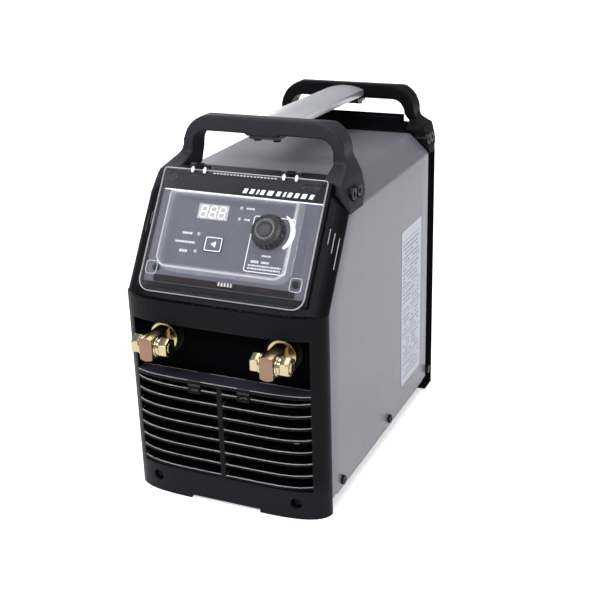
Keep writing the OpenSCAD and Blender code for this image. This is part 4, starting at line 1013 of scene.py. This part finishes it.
def build_recess_shade_sheet():
    """A darker matt sheet on the back of the terminal recess, painted shade, with a shallow ring round each
    terminal.
    """
    bm = bmesh.new()
    corners = box_outline(*SHADE_SHEET_X, *SHADE_SHEET_Z)
    a = [bm.verts.new((x, SHADE_SHEET_BACK, z)) for x, z in corners]
    b = [bm.verts.new((x, SHADE_SHEET_FRONT, z)) for x, z in corners]
    bm.faces.new(a)
    bm.faces.new(b[::-1])
    join_rings(bm, a, b)
    for side in (-1, 1):
        terminal_ring(bm, side * TERMINAL_X)
    add_piece("recess_shade_sheet", bm, ["recess_shade_black"], IN_MM, "housing", "fascia_plastic")


# ---------------------------------------------------------------- the label and the rating plate, in mm
LABEL_FACE, LABEL_INK = 80.26, 80.32
LABEL_Y, LABEL_Z = FRONT_Y + 154, 33
LABEL_WIDTH, LABEL_HEIGHT = 50, 137
LABEL_WORDS, LABEL_GAP, LABEL_FILLED = (2.2, 3.4, 4.6, 6.0), 1.1, 0.8


def label_bar(bm, y, z, width, height):
    a = [bm.verts.new((LABEL_FACE, py, pz)) for py, pz in box_outline(y, y + width, z, z + height)]
    b = [bm.verts.new((LABEL_INK, py, pz)) for py, pz in box_outline(y, y + width, z, z + height)]
    bm.faces.new(b)
    join_rings(bm, a, b)


def build_label():
    """Side label: white film with rows of blank bars, and a rule above every fifth row."""
    refine("side_label", "label_film", "housing")
    bm = bmesh.new()
    z = LABEL_Z + LABEL_HEIGHT - 9
    row = 0
    while z > LABEL_Z + 6:
        if row % 5 == 0:
            label_bar(bm, LABEL_Y + 3, z - 0.6, LABEL_WIDTH - 6, 0.5)
            z -= 3.2
        y = LABEL_Y + 4
        while y < LABEL_Y + LABEL_WIDTH - 6:
            width = random.choice(LABEL_WORDS)
            if y + width > LABEL_Y + LABEL_WIDTH - 4:
                break
            if random.random() < LABEL_FILLED:
                label_bar(bm, y, z - 1.5, width, 1.3)
            y += width + LABEL_GAP
        z -= 3.6
        row += 1
    add_piece("label_bars", bm, ["ink_grey"], IN_MM, "housing", "label_film")


PLATE_X, PLATE_Z = (-50, 14), (172, 212)
PLATE_BACK, PLATE_FRONT, PLATE_INK = 110.85, 111.1, 111.16
PLATE_ROWS, PLATE_PITCH = 6, 5.4
PLATE_WORDS, PLATE_GAP = (3.0, 4.6, 6.4, 8.0), 3


def plate_bar(bm, x, z, width, height):
    corners = [bm.verts.new((px, PLATE_INK, pz)) for px, pz in box_outline(x, x + width, z, z + height)]
    bm.faces.new(corners).material_index = 1


def build_rear_plate():
    """Blank rating plate on the back: light film with rows of plain bars."""
    left, right = PLATE_X
    bm = bmesh.new()
    outline = round_rect(*PLATE_X, *PLATE_Z, 2.0)
    a = [bm.verts.new((x, PLATE_BACK, z)) for x, z in outline]
    b = [bm.verts.new((x, PLATE_FRONT, z)) for x, z in outline]
    bm.faces.new(a)
    bm.faces.new(b)
    join_rings(bm, a, b)
    for row in range(PLATE_ROWS):
        z = PLATE_Z[1] - 7 - row * PLATE_PITCH
        plate_bar(bm, left + 4, z - 1.6, right - left - 8, 0.4)
        x = left + 5
        while x < right - 10:
            width = random.choice(PLATE_WORDS)
            plate_bar(bm, x, z, width, 1.7)
            x += width + PLATE_GAP
    add_piece("rear_plate", bm, ["label_film", "ink_grey"], IN_MM, "housing", "label_film")


# ---------------------------------------------------------------- CAD nodes with finer edges
# node, finish and width of the bevel in metres
FINE = [
    ("rear_bezel", "bezel_plastic", 0.001), ("grip_bar", "grip_metal", 0.0004),
    ("control_panel", "panel_film", 0.0002), ("terminal_studs", "stud_brass", 0.0005),
    ("terminal_bolts", "terminal_brass", 0.0005), ("terminal_washers", "terminal_brass", 0.0002),
    ("terminal_nuts", "terminal_brass", 0.0005), ("terminal_insulators", "insulator_black", 0.0005),
    ("handle_screws", "black_steel", 0.0003), ("cover_screws", "black_steel", 0.0003),
    ("fascia_screws", "black_steel", 0.0002), ("rear_screws", "black_steel", 0.0002),
    ("panel_screws", "black_steel", 0.0002), ("rear_panel", "panel_steel", 0.0002),
    ("power_switch", "black_plastic", 0.0004), ("cable_gland", "black_plastic", 0.0004),
    ("gland_nut", "black_plastic", 0.0006), ("earth_stud", "terminal_brass", 0.0003),
    ("earth_nuts", "terminal_brass", 0.0003), ("fan_frame", "fan_plastic", 0.0004),
    ("select_button", "button_film", 0.0003), ("switch_rocker", "rocker_plastic", 0.0005),
    ("fan_rotor", "fan_plastic", 0.0002)]
MOVING = {"select_button": "button", "switch_rocker": "rocker", "fan_rotor": "fan"}


def finish_cad_nodes():
    """Gives every CAD node that still shows the finish of its slot."""
    for node, ob in NODES.items():
        if ob.hide_render:
            continue
        mat = M.get(FINISH_OF_NODE.get(node, CAD_SLOT[node]), M["zinc_steel"])
        if not ob.data.materials:
            ob.data.materials.append(mat)
        for k in range(len(ob.data.materials)):
            ob.data.materials[k] = mat


# ---------------------------------------------------------------- build
build_camera()
build_stage()
build_cover()
build_print()
build_display()
build_knob()
build_cover_shell()
build_cover_details()
build_fascia_extras()
build_label()
build_recess_shade_sheet()
build_rear_plate()
soften("front_handle", "front_handle")
soften("rear_handle", "rear_handle")
for fine_node, finish, bevel_width in FINE:
    refine(fine_node, finish, MOVING.get(fine_node, "housing"), bevel_width)
finish_cad_nodes()
bpy.context.view_layer.update()
